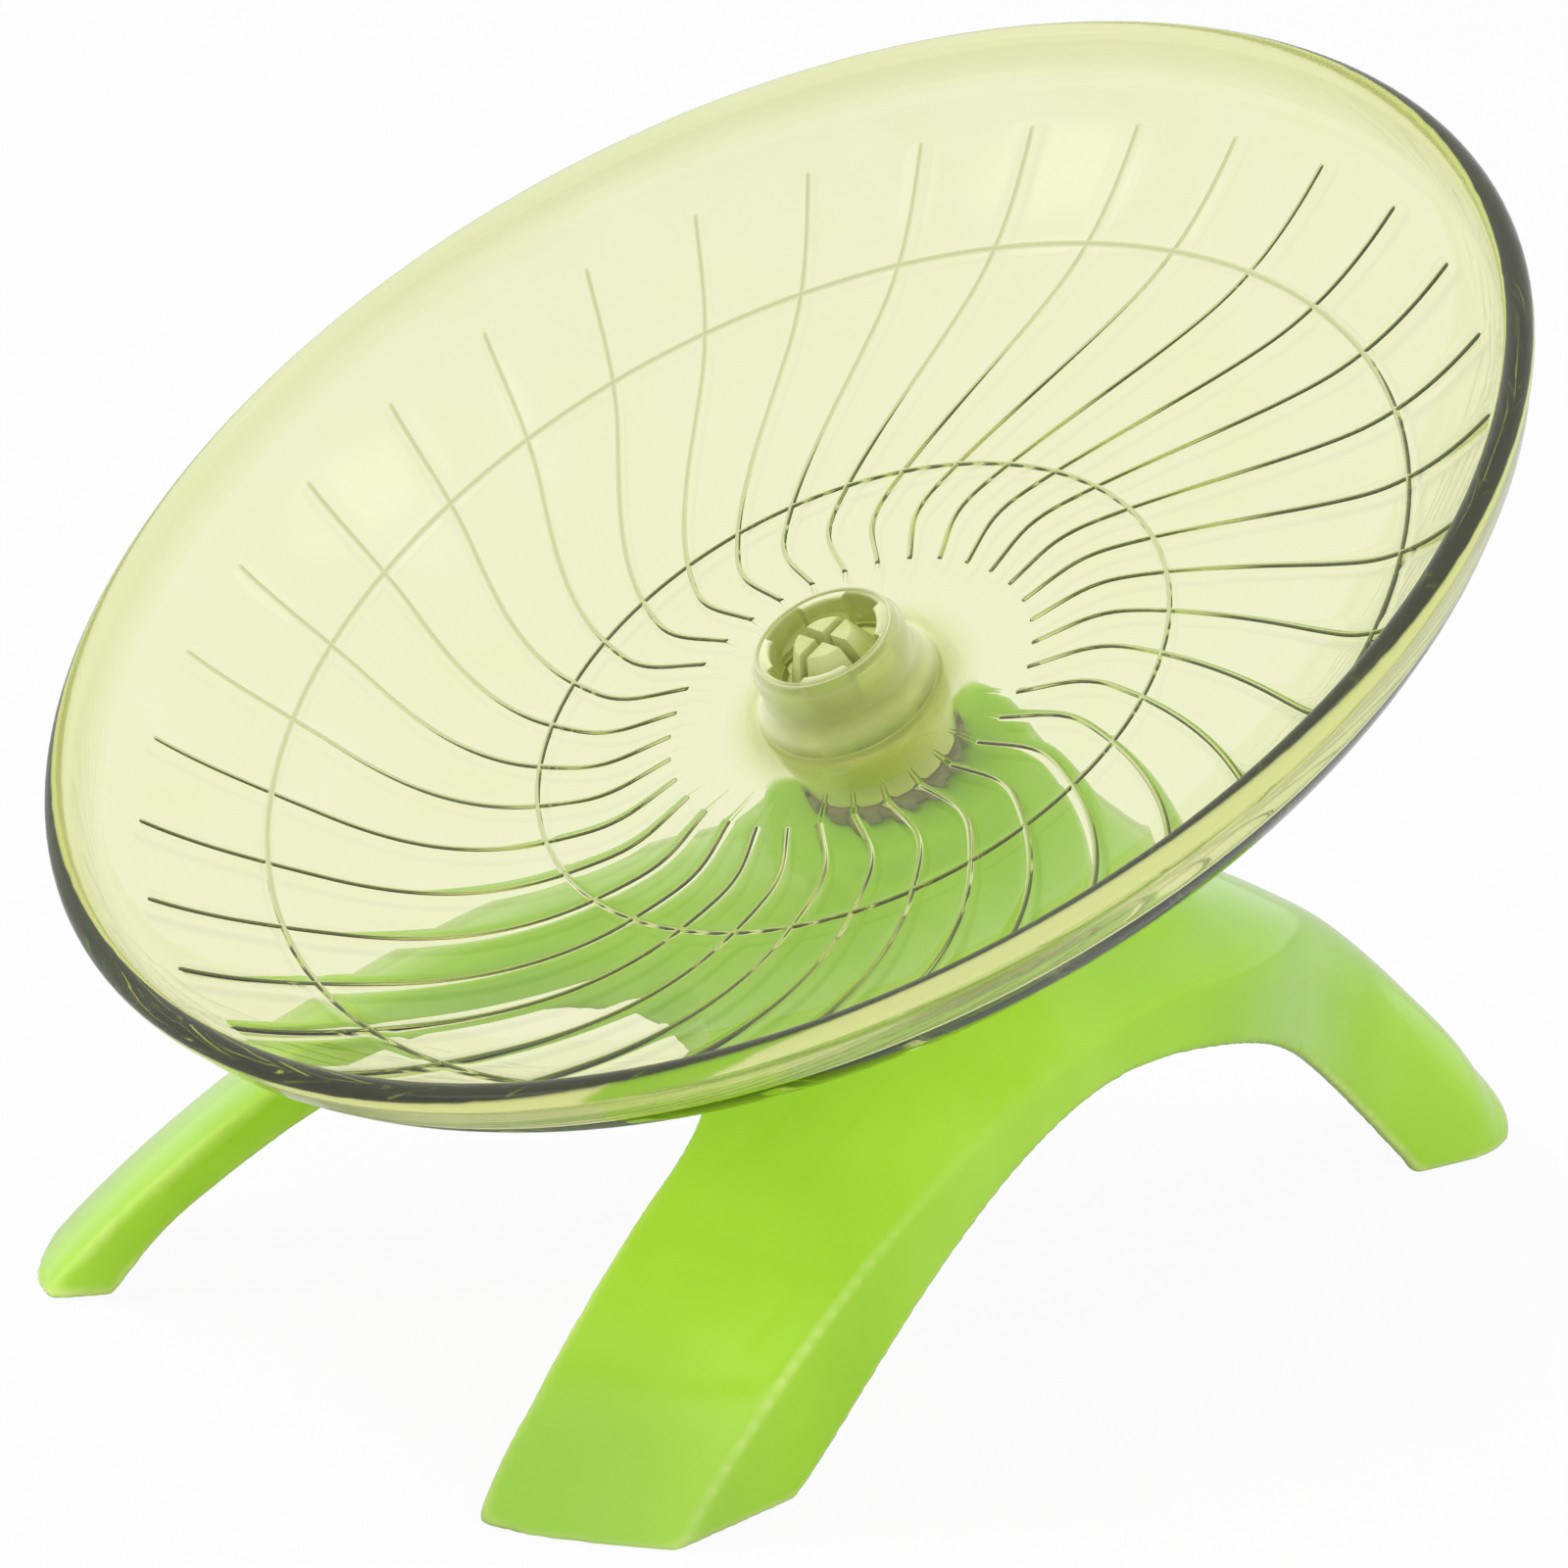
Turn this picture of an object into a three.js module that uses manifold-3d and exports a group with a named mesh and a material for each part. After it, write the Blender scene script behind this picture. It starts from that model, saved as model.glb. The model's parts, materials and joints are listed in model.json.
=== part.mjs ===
// Tilted running wheel for a hamster. A clear dish spins freely on an inclined pin, which
// stands in the crown of a domed stand with three legs.
// Lengths are in millimetres and angles in degrees. Z is up and the dish leans towards +X.
// The stand is the same on both sides of the XZ plane, but for the length of its side arches.

import * as THREE from 'three';
import { mergeVertices } from 'three/addons/utils/BufferGeometryUtils.js';
import Module from 'manifold-3d';

const wasm = await Module();
wasm.setup();

// Clearances
const seatGap = 0.3; // between pieces that rest on each other
const runGap = 0.4; // around what turns
const overrun = 4; // how far a cut runs past the face that it leaves

// Dish, measured from the plane of its rim
const dishRadius = 90;
const dishWall = 2;
const beadRadius = 1.7;
const lowerBend = 62; // the long bend from the floor up into the wall
const lowerSweep = 44;
const upperBend = 24.6; // the tighter bend below the bead
const upperSweep = 23;
const beadInnerWrap = 120; // how far the bead goes round from the wall's line on either side
const beadOuterWrap = 110;

// Raised grip lines on the running surface
const ribCount = 34;
const ribWidth = 1;
const ribHeight = 0.6;
const ribPhase = 2.7;
const ribStartShare = 0.249; // of the dish radius
const ribEndShare = 0.914;
const ringShares = [0.435, 0.779];
// Share of the way along a line, and how far the line has turned there
const ribBends = [[0, 0], [0.13, 3.6], [0.28, -1], [0.63, -14.8], [0.8, -20], [1, -23.4]];

// Hub in the middle of the dish
const hubRadius = 9.3;
const hubRise = 8.4; // above the floor
const hubDrop = 11.1; // from the floor down to the lower end
const hubFlare = 7.1; // width of the sweep from the floor up to the hub
const hubFlareRise = 3.4;
const recessRadius = 6.5;
const recessLobe = 0.9; // how much further the four lobes of the recess reach
const recessLobeAngle = 46;
const recessDepth = 5.5;

// Pin that the dish turns on, with four prongs that snap over the ledge in the hub
const pinRadius = 4.4;
const shankRadius = 3.6;
const shankLength = 17;
const barbReach = 1;
const barbThickness = 1.2;
const prongTipRadius = 3.6;
const prongSlot = 1.3;
const prongLength = 11;

// Toothed ring between the crown and the hub
const ringHeight = 1.6;
const ringRadius = 9.4;
const toothCount = 14;
const toothReach = 0.7;
const toothShare = 0.55; // of the pitch

// Stand, an oval dome cut away to three legs, measured from the middle of the dome
const domeFront = 110.5; // reach of the dome before its middle and behind it
const domeRear = 107;
const domeWidth = 172;
const domeRise = 52;
const domeCurve = 1.85; // exponent of the dome's section
const standWall = 2.2;
const frontFootInner = 39; // half the distance between the front feet
const frontFootOuter = 56.5; // half the width over the front feet
const footCorner = 4; // rounding of their inner corners
const innerSplay = 17.8;
const outerSplay = 12.2;
const crotchRadius = 29; // where the front legs part
const waist = -10; // where the outer walls start to bend towards the rear leg
const rearLegWidth = 24.6;
const rearLegStart = -80; // where the rear leg's walls are straight
const waistPullShare = 0.417; // of the way between them, for the curve that joins them
const rearReach = 106.1; // to its end
const rearEndLength = 18; // of its rounded end
const rearEdge = 10.5; // rounding of the rear leg's upper edges
const waistEdge = 1; // and where they start at the waist
const sideArchRise = 34.8;
const leftArchFront = 63; // reach of the side arches before the middle and behind it
const leftArchRear = 80;
const rightArchFront = 67;
const rightArchRear = 97;
const archFrontCurve = 1.2; // how much slimmer than a parabola their front halves are
const frontArchRise = 38.5;
const frontArchStart = 9; // from the inner corners of the feet
const frontArchLength = 82; // from there to its top
const frontArchCurve = 0.8;

// Crown, with the socket for the pin
const crownForward = 7.3;
const crownHeight = 61;
const crownRadius = 17;
const crownEdge = 3; // rounding of its upper edge
const crownBaseFront = 37; // reach of its flared base before the middle of the dome
const crownBaseRear = 44;
const crownBaseWidth = 70;
const crownBaseHeight = 42.5;
const crownFlare = 1.15; // exponent of the flare
const socketWall = 2.8;
const socketFloor = 2.4;
const tilt = 35.5;

const roundSteps = 48; // facets of the small round pieces and of the crown
const domeSteps = 72;
const domeRings = 16;
const curveSteps = 10;
const edgeSteps = 4; // facets of a rounded edge
const gripSteps = 4; // between the ends of the grip lines and the rings
const underSteps = 8;

const rad = THREE.MathUtils.degToRad;
const polar = (radius, degrees) => [radius * Math.cos(rad(degrees)), radius * Math.sin(rad(degrees))];

// Heights along the axle, measured from the seat on top of the crown
const hubBottom = seatGap + ringHeight + seatGap;
const floorLevel = hubBottom + hubDrop;
const hubTop = floorLevel + hubRise;
const ledgeLevel = hubTop - recessDepth;
const lowerRise = lowerBend * (1 - Math.cos(rad(lowerSweep)));
const upperRise = upperBend * (Math.cos(rad(lowerSweep)) - Math.cos(rad(lowerSweep + upperSweep)));
const rimLevel = floorLevel + lowerRise + upperRise;

// Solid from a closed geometry, and geometry from a solid
function toSolid(geometry) {
  const bare = geometry.index ? geometry.clone() : geometry;
  bare.deleteAttribute('normal');
  bare.deleteAttribute('uv');
  const merged = mergeVertices(bare);
  const corners = merged.index.array;
  const kept = [];
  for (let i = 0; i < corners.length; i += 3) {
    const [a, b, c] = corners.slice(i, i + 3);
    if (a !== b && b !== c && c !== a) {
      kept.push(a, b, c);
    }
  }
  return new wasm.Manifold(new wasm.Mesh({
    numProp: 3,
    vertProperties: new Float32Array(merged.attributes.position.array),
    triVerts: new Uint32Array(kept),
  }));
}

function toGeometry(solid) {
  const mesh = solid.getMesh();
  const geometry = new THREE.BufferGeometry();
  geometry.setAttribute('position', new THREE.BufferAttribute(mesh.vertProperties, 3));
  geometry.setIndex(new THREE.BufferAttribute(mesh.triVerts, 1));
  geometry.computeVertexNormals();
  return geometry;
}

// Body turned about Z from points of radius and height, listed from the bottom outwards
function turned(points, steps = roundSteps) {
  const profile = points.map(([radius, height]) => new THREE.Vector2(radius, height));
  return new THREE.LatheGeometry(profile, steps).rotateX(Math.PI / 2);
}

function rod(radius, from, to, steps = roundSteps) {
  return turned([[0, from], [radius, from], [radius, to], [0, to]], steps);
}

// Upright prism over an outline
function prism(outline, from, to) {
  const shape = new THREE.Shape(outline);
  return new THREE.ExtrudeGeometry(shape, { depth: to - from, bevelEnabled: false })
    .translate(0, 0, from);
}

function block(width, depth, from, to) {
  return new THREE.BoxGeometry(width, depth, to - from).translate(0, 0, (from + to) / 2);
}

// Outline moved inwards by a distance; it is listed anticlockwise
function inset(outline, distance) {
  const count = outline.length;
  return outline.map((point, i) => {
    const before = point.clone().sub(outline[(i + count - 1) % count]).normalize();
    const after = outline[(i + 1) % count].clone().sub(point).normalize();
    const inward = new THREE.Vector2(-before.y - after.y, before.x + after.x).normalize();
    const reach = distance / Math.max(inward.dot(new THREE.Vector2(-after.y, after.x)), Math.SQRT1_2);
    return point.clone().addScaledVector(inward, reach);
  });
}

// Dish

// Height and slope of the running surface above the floor at a radius
const bendStart = dishRadius - beadRadius
  - lowerBend * Math.sin(rad(lowerSweep))
  - upperBend * (Math.sin(rad(lowerSweep + upperSweep)) - Math.sin(rad(lowerSweep)));
const bendChange = bendStart + lowerBend * Math.sin(rad(lowerSweep));
const flareEnd = hubRadius + hubFlare;

function surfaceAt(radius) {
  if (radius < flareEnd) {
    const angle = Math.asin(Math.min((flareEnd - radius) / hubFlare, 1));
    const slope = -Math.atan2(hubFlareRise * Math.sin(angle), hubFlare * Math.cos(angle));
    return { radius, height: floorLevel + hubFlareRise * (1 - Math.cos(angle)), slope };
  }
  if (radius < bendStart) {
    return { radius, height: floorLevel, slope: 0 };
  }
  if (radius < bendChange) {
    const angle = Math.asin((radius - bendStart) / lowerBend);
    return { radius, height: floorLevel + lowerBend * (1 - Math.cos(angle)), slope: angle };
  }
  const past = (radius - bendChange) / upperBend + Math.sin(rad(lowerSweep));
  const angle = Math.asin(past);
  const height = floorLevel + lowerRise + upperBend * (Math.cos(rad(lowerSweep)) - Math.cos(angle));
  return { radius, height, slope: angle };
}

const ribStart = dishRadius * ribStartShare;
const ribEnd = dishRadius * ribEndShare;
const ribCurve = new THREE.SplineCurve(ribBends.map(([share, turn]) => new THREE.Vector2(share, turn)));
const ribTable = ribCurve.getPoints(ribBends.length * curveSteps);

// How far the grip lines have turned at a radius, in degrees
function ribTurn(radius) {
  const share = THREE.MathUtils.clamp((radius - ribStart) / (ribEnd - ribStart), 0, 1);
  const next = Math.max(ribTable.findIndex((point) => point.x >= share), 1);
  const [a, b] = [ribTable[next - 1], ribTable[next]];
  return a.y + (b.y - a.y) * (share - a.x) / (b.x - a.x);
}

// Angle that half the width of a line covers, along the circle at a radius
function ribHalfAngle(radius) {
  const step = ribWidth / 2;
  const lean = rad(ribTurn(radius + step) - ribTurn(radius - step)) / (2 * step) * radius;
  return ribWidth / 2 * Math.hypot(1, lean) / radius;
}

// Radii of the running surface's mesh: both ends of the lines, the two rings and between them
function gripRadii() {
  const half = ribWidth / 2;
  const rings = ringShares.map((share) => share * dishRadius);
  const stops = [ribStart, ribStart + ribWidth];
  const fill = (to, count) => {
    const from = stops[stops.length - 1];
    for (let i = 1; i < count; i += 1) {
      stops.push(from + (to - from) * i / count);
    }
    stops.push(to);
  };
  fill(rings[0] - half, gripSteps);
  stops.push(rings[0], rings[0] + half);
  fill(rings[1] - half, gripSteps);
  stops.push(rings[1], rings[1] + half);
  fill(ribEnd - ribWidth, gripSteps / 2);
  stops.push(ribEnd);
  return stops;
}

// The bowl as one ring of cross sections. Four columns of points follow each grip line:
// its two feet, its crest and the middle of the gap.
function bowlGeometry() {
  const pitch = 2 * Math.PI / ribCount;
  const rings = ringShares.map((share) => share * dishRadius);
  const rows = [];
  const even = [-pitch / 4, 0, pitch / 4, pitch / 2];
  const addRow = (radius, height, turn, offsets = even, lifts = [0, 0, 0, 0], slope = 0) => {
    rows.push({ radius, height, turn, offsets, lifts, slope });
  };
  const inner = (hubRadius + recessRadius) / 2;
  const flareSteps = 3;
  const beadSteps = 8;

  // Running surface, from the hub outwards
  for (let i = 0; i < flareSteps; i += 1) {
    const radius = hubRadius + (flareEnd - hubRadius) * (i / flareSteps) ** 2;
    const { height } = surfaceAt(radius);
    addRow(i === 0 ? inner : radius, height, 0);
  }
  addRow(flareEnd, floorLevel, 0);
  for (const radius of gripRadii()) {
    const { height, slope } = surfaceAt(radius);
    const half = ribHalfAngle(radius);
    const atEnd = radius === ribStart || radius === ribEnd;
    const onRing = rings.includes(radius);
    const lift = onRing ? ribHeight : 0;
    const lifts = [lift, atEnd ? 0 : ribHeight, lift, lift];
    addRow(radius, height, rad(ribTurn(radius)), [-half, 0, half, pitch / 2], lifts, slope);
  }

  // Bead
  const wallAngle = lowerSweep + upperSweep;
  const beadCentre = dishRadius - beadRadius;
  const beadFrom = wallAngle + beadInnerWrap;
  const beadTo = wallAngle - beadOuterWrap;
  for (let i = 0; i <= beadSteps; i += 1) {
    const [x, z] = polar(beadRadius, beadFrom + (beadTo - beadFrom) * i / beadSteps);
    addRow(beadCentre + x, rimLevel + z, rad(ribTurn(ribEnd)));
  }

  // Underside, from the wall inwards
  for (let i = 0; i < underSteps; i += 1) {
    const radius = ribEnd - (ribEnd - flareEnd) * i / (underSteps - 1);
    const { height, slope } = surfaceAt(radius);
    const under = radius + dishWall * Math.sin(slope);
    addRow(under, height - dishWall * Math.cos(slope), rad(ribTurn(radius)));
  }
  addRow(inner, floorLevel - dishWall, 0);

  const columns = ribCount * even.length;
  const positions = [];
  const normal = new THREE.Vector2();
  for (const row of rows) {
    normal.set(-Math.sin(row.slope), Math.cos(row.slope));
    for (let c = 0; c < columns; c += 1) {
      const corner = c % even.length;
      const radius = row.radius + row.lifts[corner] * normal.x;
      const angle = Math.floor(c / even.length) * pitch + row.offsets[corner] + row.turn + rad(ribPhase);
      const height = row.height + row.lifts[corner] * normal.y;
      positions.push(radius * Math.cos(angle), radius * Math.sin(angle), height);
    }
  }
  const indices = [];
  for (let r = 0; r < rows.length; r += 1) {
    const next = (r + 1) % rows.length;
    for (let c = 0; c < columns; c += 1) {
      const side = (c + 1) % columns;
      const [a, b] = [r * columns + c, r * columns + side];
      const [d, e] = [next * columns + c, next * columns + side];
      indices.push(a, d, b, b, d, e);
    }
  }
  const geometry = new THREE.BufferGeometry();
  geometry.setAttribute('position', new THREE.Float32BufferAttribute(positions, 3));
  geometry.setIndex(indices);
  return geometry;
}

// Outline of the recess in the hub: a circle with four wider lobes
function recessOutline() {
  const points = [];
  const lobes = 4;
  for (let lobe = 0; lobe < lobes; lobe += 1) {
    const middle = lobe * 360 / lobes;
    for (let i = 0; i <= edgeSteps; i += 1) {
      const angle = middle - recessLobeAngle / 2 + recessLobeAngle * i / edgeSteps;
      points.push(new THREE.Vector2(...polar(recessRadius + recessLobe, angle)));
    }
    const rest = 360 / lobes - recessLobeAngle;
    for (let i = 0; i <= edgeSteps; i += 1) {
      const angle = middle + recessLobeAngle / 2 + rest * i / edgeSteps;
      points.push(new THREE.Vector2(...polar(recessRadius, angle)));
    }
  }
  return points;
}

function dishSolid() {
  const hub = toSolid(rod(hubRadius, hubBottom, hubTop));
  const bore = toSolid(rod(pinRadius + runGap, hubBottom - overrun, hubTop + overrun));
  const recess = toSolid(prism(recessOutline(), ledgeLevel, hubTop + overrun));
  return toSolid(bowlGeometry()).add(hub).subtract(bore).subtract(recess);
}

// Pin

const barbRadius = pinRadius + barbReach;
const barbLevel = ledgeLevel + seatGap;

function pinSolid() {
  const body = toSolid(turned([
    [0, -shankLength + seatGap], [shankRadius, -shankLength + seatGap], [shankRadius, seatGap],
    [pinRadius, seatGap], [pinRadius, barbLevel], [barbRadius, barbLevel],
    [barbRadius, barbLevel + barbThickness], [prongTipRadius, hubTop], [0, hubTop],
  ]));
  const slotFrom = hubTop - prongLength;
  const slotSpan = 2 * barbRadius + overrun;
  const slot = toSolid(block(prongSlot, slotSpan, slotFrom, hubTop + overrun));
  const crossSlot = toSolid(block(slotSpan, prongSlot, slotFrom, hubTop + overrun));
  return body.subtract(slot).subtract(crossSlot);
}

// Toothed ring

function ringOutline() {
  const points = [];
  const pitch = 360 / toothCount;
  for (let tooth = 0; tooth < toothCount; tooth += 1) {
    const from = tooth * pitch;
    const to = from + pitch * toothShare;
    for (const angle of [from, (from + to) / 2, to]) {
      points.push(new THREE.Vector2(...polar(ringRadius + toothReach, angle)));
    }
    points.push(new THREE.Vector2(...polar(ringRadius, to)));
    points.push(new THREE.Vector2(...polar(ringRadius, from + pitch)));
  }
  return points;
}

function ringSolid() {
  const bore = toSolid(rod(pinRadius + seatGap, -overrun, ringHeight + overrun));
  return toSolid(prism(ringOutline(), seatGap, seatGap + ringHeight)).subtract(bore);
}

// Stand

// Turns a body from the axle's frame into the stand's
const axlePlace = new THREE.Matrix4()
  .makeRotationY(rad(tilt))
  .setPosition(crownForward, 0, crownHeight);

// Oval dome over the ground, for the outer face or for one that lies deeper and whose sides
// run straight down below the ground
function dome(depth) {
  const rise = domeRise - depth;
  const bottom = depth > 0 ? -overrun / rise : 0;
  const profile = [[0, bottom], [1, bottom]];
  for (let i = depth > 0 ? 0 : 1; i <= domeRings; i += 1) {
    const angle = Math.PI / 2 * i / domeRings;
    profile.push([Math.cos(angle), Math.sin(angle) ** domeCurve]);
  }
  profile[profile.length - 1][0] = 0;
  const cover = turned(profile, domeSteps).scale(1, domeWidth / 2 - depth, rise);
  const places = cover.attributes.position;
  for (let i = 0; i < places.count; i += 1) {
    const reach = places.getX(i) > 0 ? domeFront : domeRear;
    places.setX(i, places.getX(i) * (reach - depth));
  }
  return cover;
}

// Height of the dome over a point, for the outer face or for one that lies deeper
function domeHeight(x, y, depth) {
  const reach = x > 0 ? domeFront : domeRear;
  const rest = 1 - (x / (reach - depth)) ** 2 - (y / (domeWidth / 2 - depth)) ** 2;
  return (domeRise - depth) * Math.max(rest, 0) ** (domeCurve / 2);
}

// Reach of the dome's front edge at a distance from the middle plane
function domeEdge(y) {
  return domeFront * Math.sqrt(1 - (2 * y / domeWidth) ** 2);
}

// The left half of the stand seen from above, from the crotch round to the rear end.
// The front foot's end runs a little past the dome, which trims it.
function halfOutline(corner) {
  const innerCorner = new THREE.Vector2(domeEdge(frontFootInner), frontFootInner);
  const outerCorner = new THREE.Vector2(domeEdge(frontFootOuter), frontFootOuter);
  const inward = new THREE.Vector2(...polar(1, innerSplay));
  const outward = new THREE.Vector2(...polar(1, outerSplay));
  const across = outerCorner.clone().sub(innerCorner).normalize();
  const crotch = innerCorner.x - frontFootInner / Math.tan(rad(innerSplay))
    + crotchRadius / Math.sin(rad(innerSplay));
  const half = rearLegWidth / 2;
  const waistHalf = outerCorner.y - (outerCorner.x - waist) * Math.tan(rad(outerSplay));
  const reach = (waist - rearLegStart) * waistPullShare;

  const path = new THREE.Path();
  path.moveTo(crotch - crotchRadius, 0);
  path.absarc(crotch, 0, crotchRadius, Math.PI, Math.PI / 2 + rad(innerSplay), true);
  const before = innerCorner.clone().addScaledVector(inward, -corner);
  const after = innerCorner.clone().addScaledVector(across, corner);
  path.lineTo(before.x, before.y);
  path.quadraticCurveTo(innerCorner.x, innerCorner.y, after.x, after.y);
  path.lineTo(outerCorner.x + overrun * outward.x, outerCorner.y + overrun * outward.y);
  path.lineTo(waist, waistHalf);
  path.bezierCurveTo(
    waist - reach * outward.x, waistHalf - reach * outward.y,
    rearLegStart + reach, half, rearLegStart, half,
  );
  path.lineTo(rearEndLength - rearReach, half);
  path.absellipse(rearEndLength - rearReach, 0, rearEndLength, half, Math.PI / 2, Math.PI, false);
  return path.getPoints(curveSteps)
    .filter((point, i, all) => i === 0 || point.distanceTo(all[i - 1]) > seatGap);
}

// Outline with its mirror image, anticlockwise
function bothSides(half) {
  const other = half.slice(1).reverse().map((point) => new THREE.Vector2(point.x, -point.y));
  return half.concat(other);
}

// Rear half of the stand as a row of cross sections with rounded upper edges
function rearSpan(half, depth, bottom) {
  const positions = [];
  const indices = [];
  for (const { x, y: width } of half) {
    const share = THREE.MathUtils.clamp((waist - x) / (waist - rearLegStart), 0, 1);
    const wanted = THREE.MathUtils.lerp(waistEdge, rearEdge, share) - depth;
    const edge = Math.min(Math.max(wanted, waistEdge), width, domeHeight(x, width, depth));
    const section = [[width, bottom]];
    for (let i = 0; i <= edgeSteps; i += 1) {
      const angle = Math.PI / 2 * i / edgeSteps;
      const y = width - edge * (1 - Math.cos(angle));
      section.push([y, domeHeight(x, y, depth) - edge * (1 - Math.sin(angle))]);
    }
    for (let i = 1; i <= edgeSteps; i += 1) {
      const y = (width - edge) * (1 - i / edgeSteps);
      section.push([y, domeHeight(x, y, depth)]);
    }
    const otherSide = section.slice(0, -1).reverse().map(([y, z]) => [-y, z]);
    for (const [y, z] of section.concat(otherSide)) {
      positions.push(x, y, z);
    }
  }
  const columns = positions.length / (3 * half.length);
  for (let r = 0; r < half.length - 1; r += 1) {
    for (let c = 0; c < columns; c += 1) {
      const side = (c + 1) % columns;
      const [a, b] = [r * columns + c, r * columns + side];
      indices.push(a, a + columns, b, b, a + columns, b + columns);
    }
  }
  const last = (half.length - 1) * columns;
  for (let c = 1; c < columns - 1; c += 1) {
    indices.push(0, c, c + 1, last, last + c + 1, last + c);
  }
  const geometry = new THREE.BufferGeometry();
  geometry.setAttribute('position', new THREE.Float32BufferAttribute(positions, 3));
  geometry.setIndex(indices);
  return geometry;
}

// Both halves of the stand as one solid, for the outer face or for one that lies deeper
function domeSolid(half, depth) {
  const bottom = depth > 0 ? -overrun : 0;
  const turn = half.findIndex((point) => point.x < waist + seatGap);
  const front = half.slice(0, turn + 1);
  const start = half[turn].clone().lerp(half[turn - 1], overrun / half[turn].distanceTo(half[turn - 1]));
  return toSolid(dome(depth))
    .intersect(toSolid(prism(bothSides(front), bottom, domeRise + overrun)))
    .add(toSolid(rearSpan([start, ...half.slice(turn)], depth, bottom)));
}

// Tunnel of the arch on one side, along Y: a share of its reach and rise at each step
function sideArch(front, rear, from, to) {
  const points = [];
  for (let i = -curveSteps; i <= curveSteps; i += 1) {
    const share = i / curveSteps;
    const [reach, curve] = share > 0 ? [front, archFrontCurve] : [rear, 1];
    points.push(new THREE.Vector2(share * reach, sideArchRise * (1 - share ** 2) ** curve));
  }
  points.push(new THREE.Vector2(front, -overrun));
  points.push(new THREE.Vector2(-rear, -overrun));
  return prism(points.reverse(), from, to).rotateX(Math.PI / 2);
}

// Arch cut through the inner wall of one front leg, square to that wall; side is 1 or -1
function frontArch(side) {
  const points = [new THREE.Vector2(frontArchStart, -overrun)];
  for (let i = 0; i <= curveSteps; i += 1) {
    const rise = i === 0 ? 0 : Math.sin(Math.PI / 2 * i / curveSteps) ** frontArchCurve;
    points.push(new THREE.Vector2(frontArchStart + frontArchLength * i / curveSteps, frontArchRise * rise));
  }
  points.push(new THREE.Vector2(frontArchStart + frontArchLength, -overrun));
  const depth = crotchRadius * (1 - Math.sin(rad(innerSplay))) + seatGap;
  const reach = [side * -depth, side * overrun].sort((a, b) => a - b);
  return prism(points, ...reach)
    .rotateX(Math.PI / 2)
    .rotateZ(Math.PI + side * rad(innerSplay))
    .translate(domeEdge(frontFootInner), side * frontFootInner, 0);
}

// Crown as a stack of rings, from its top down to the flared base inside the dome.
// Depth draws it in by the thickness of the wall.
function crownGeometry(depth) {
  const flareSteps = 6;
  const radius = crownRadius - depth;
  const edge = Math.max(crownEdge - depth, 0);
  const rings = [];
  const tilted = (size, level) => {
    rings.push((angle) => new THREE.Vector3(size * Math.cos(angle), size * Math.sin(angle), level)
      .applyMatrix4(axlePlace));
  };
  for (let i = 0; i <= edgeSteps; i += 1) {
    const angle = Math.PI / 2 * i / edgeSteps;
    tilted(radius - edge * (1 - Math.sin(angle)), -depth - edge * (1 - Math.cos(angle)));
  }
  const neck = rings[rings.length - 1];
  const length = (crownBaseFront + crownBaseRear) / 2 - depth;
  const middle = (crownBaseFront - crownBaseRear) / 2;
  const base = (angle) => new THREE.Vector3(
    middle + length * Math.cos(angle), (crownBaseWidth / 2 - depth) * Math.sin(angle), crownBaseHeight - depth,
  );
  for (let i = 1; i <= flareSteps; i += 1) {
    const out = (i / flareSteps) ** crownFlare;
    const down = 1 - (1 - i / flareSteps) ** crownFlare;
    rings.push((angle) => {
      const [from, to] = [neck(angle), base(angle)];
      return new THREE.Vector3(
        THREE.MathUtils.lerp(from.x, to.x, out), THREE.MathUtils.lerp(from.y, to.y, out),
        THREE.MathUtils.lerp(from.z, to.z, down),
      );
    });
  }
  const positions = [];
  const indices = [];
  for (const ring of rings) {
    for (let c = 0; c < roundSteps; c += 1) {
      positions.push(...ring(2 * Math.PI * c / roundSteps).toArray());
    }
  }
  for (let r = 0; r < rings.length - 1; r += 1) {
    for (let c = 0; c < roundSteps; c += 1) {
      const side = (c + 1) % roundSteps;
      const [a, b] = [r * roundSteps + c, r * roundSteps + side];
      indices.push(a, a + roundSteps, b, b, a + roundSteps, b + roundSteps);
    }
  }
  const last = (rings.length - 1) * roundSteps;
  for (let c = 1; c < roundSteps - 1; c += 1) {
    indices.push(0, c, c + 1, last, last + c + 1, last + c);
  }
  const geometry = new THREE.BufferGeometry();
  geometry.setAttribute('position', new THREE.Float32BufferAttribute(positions, 3));
  geometry.setIndex(indices);
  return geometry;
}

function standSolid() {
  const half = halfOutline(footCorner);
  const sharp = halfOutline(0);
  const inner = inset(bothSides(sharp), standWall).slice(0, sharp.length);
  inner[0].y = 0;
  inner[inner.length - 1].y = 0;
  const socketRadius = shankRadius + seatGap + socketWall;
  const socket = toSolid(rod(socketRadius, -shankLength - socketFloor, -standWall / 2)
    .applyMatrix4(axlePlace));
  const bore = toSolid(rod(shankRadius + seatGap, -shankLength, overrun).applyMatrix4(axlePlace));
  const hollow = domeSolid(inner, standWall).add(toSolid(crownGeometry(standWall)));
  return domeSolid(half, 0).add(toSolid(crownGeometry(0)))
    .subtract(hollow).add(socket).subtract(bore)
    .subtract(toSolid(sideArch(leftArchFront, leftArchRear, -domeWidth / 2, 0)))
    .subtract(toSolid(sideArch(rightArchFront, rightArchRear, 0, domeWidth / 2)))
    .subtract(toSolid(frontArch(1))).subtract(toSolid(frontArch(-1)));
}

// Materials and the finished wheel

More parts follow.
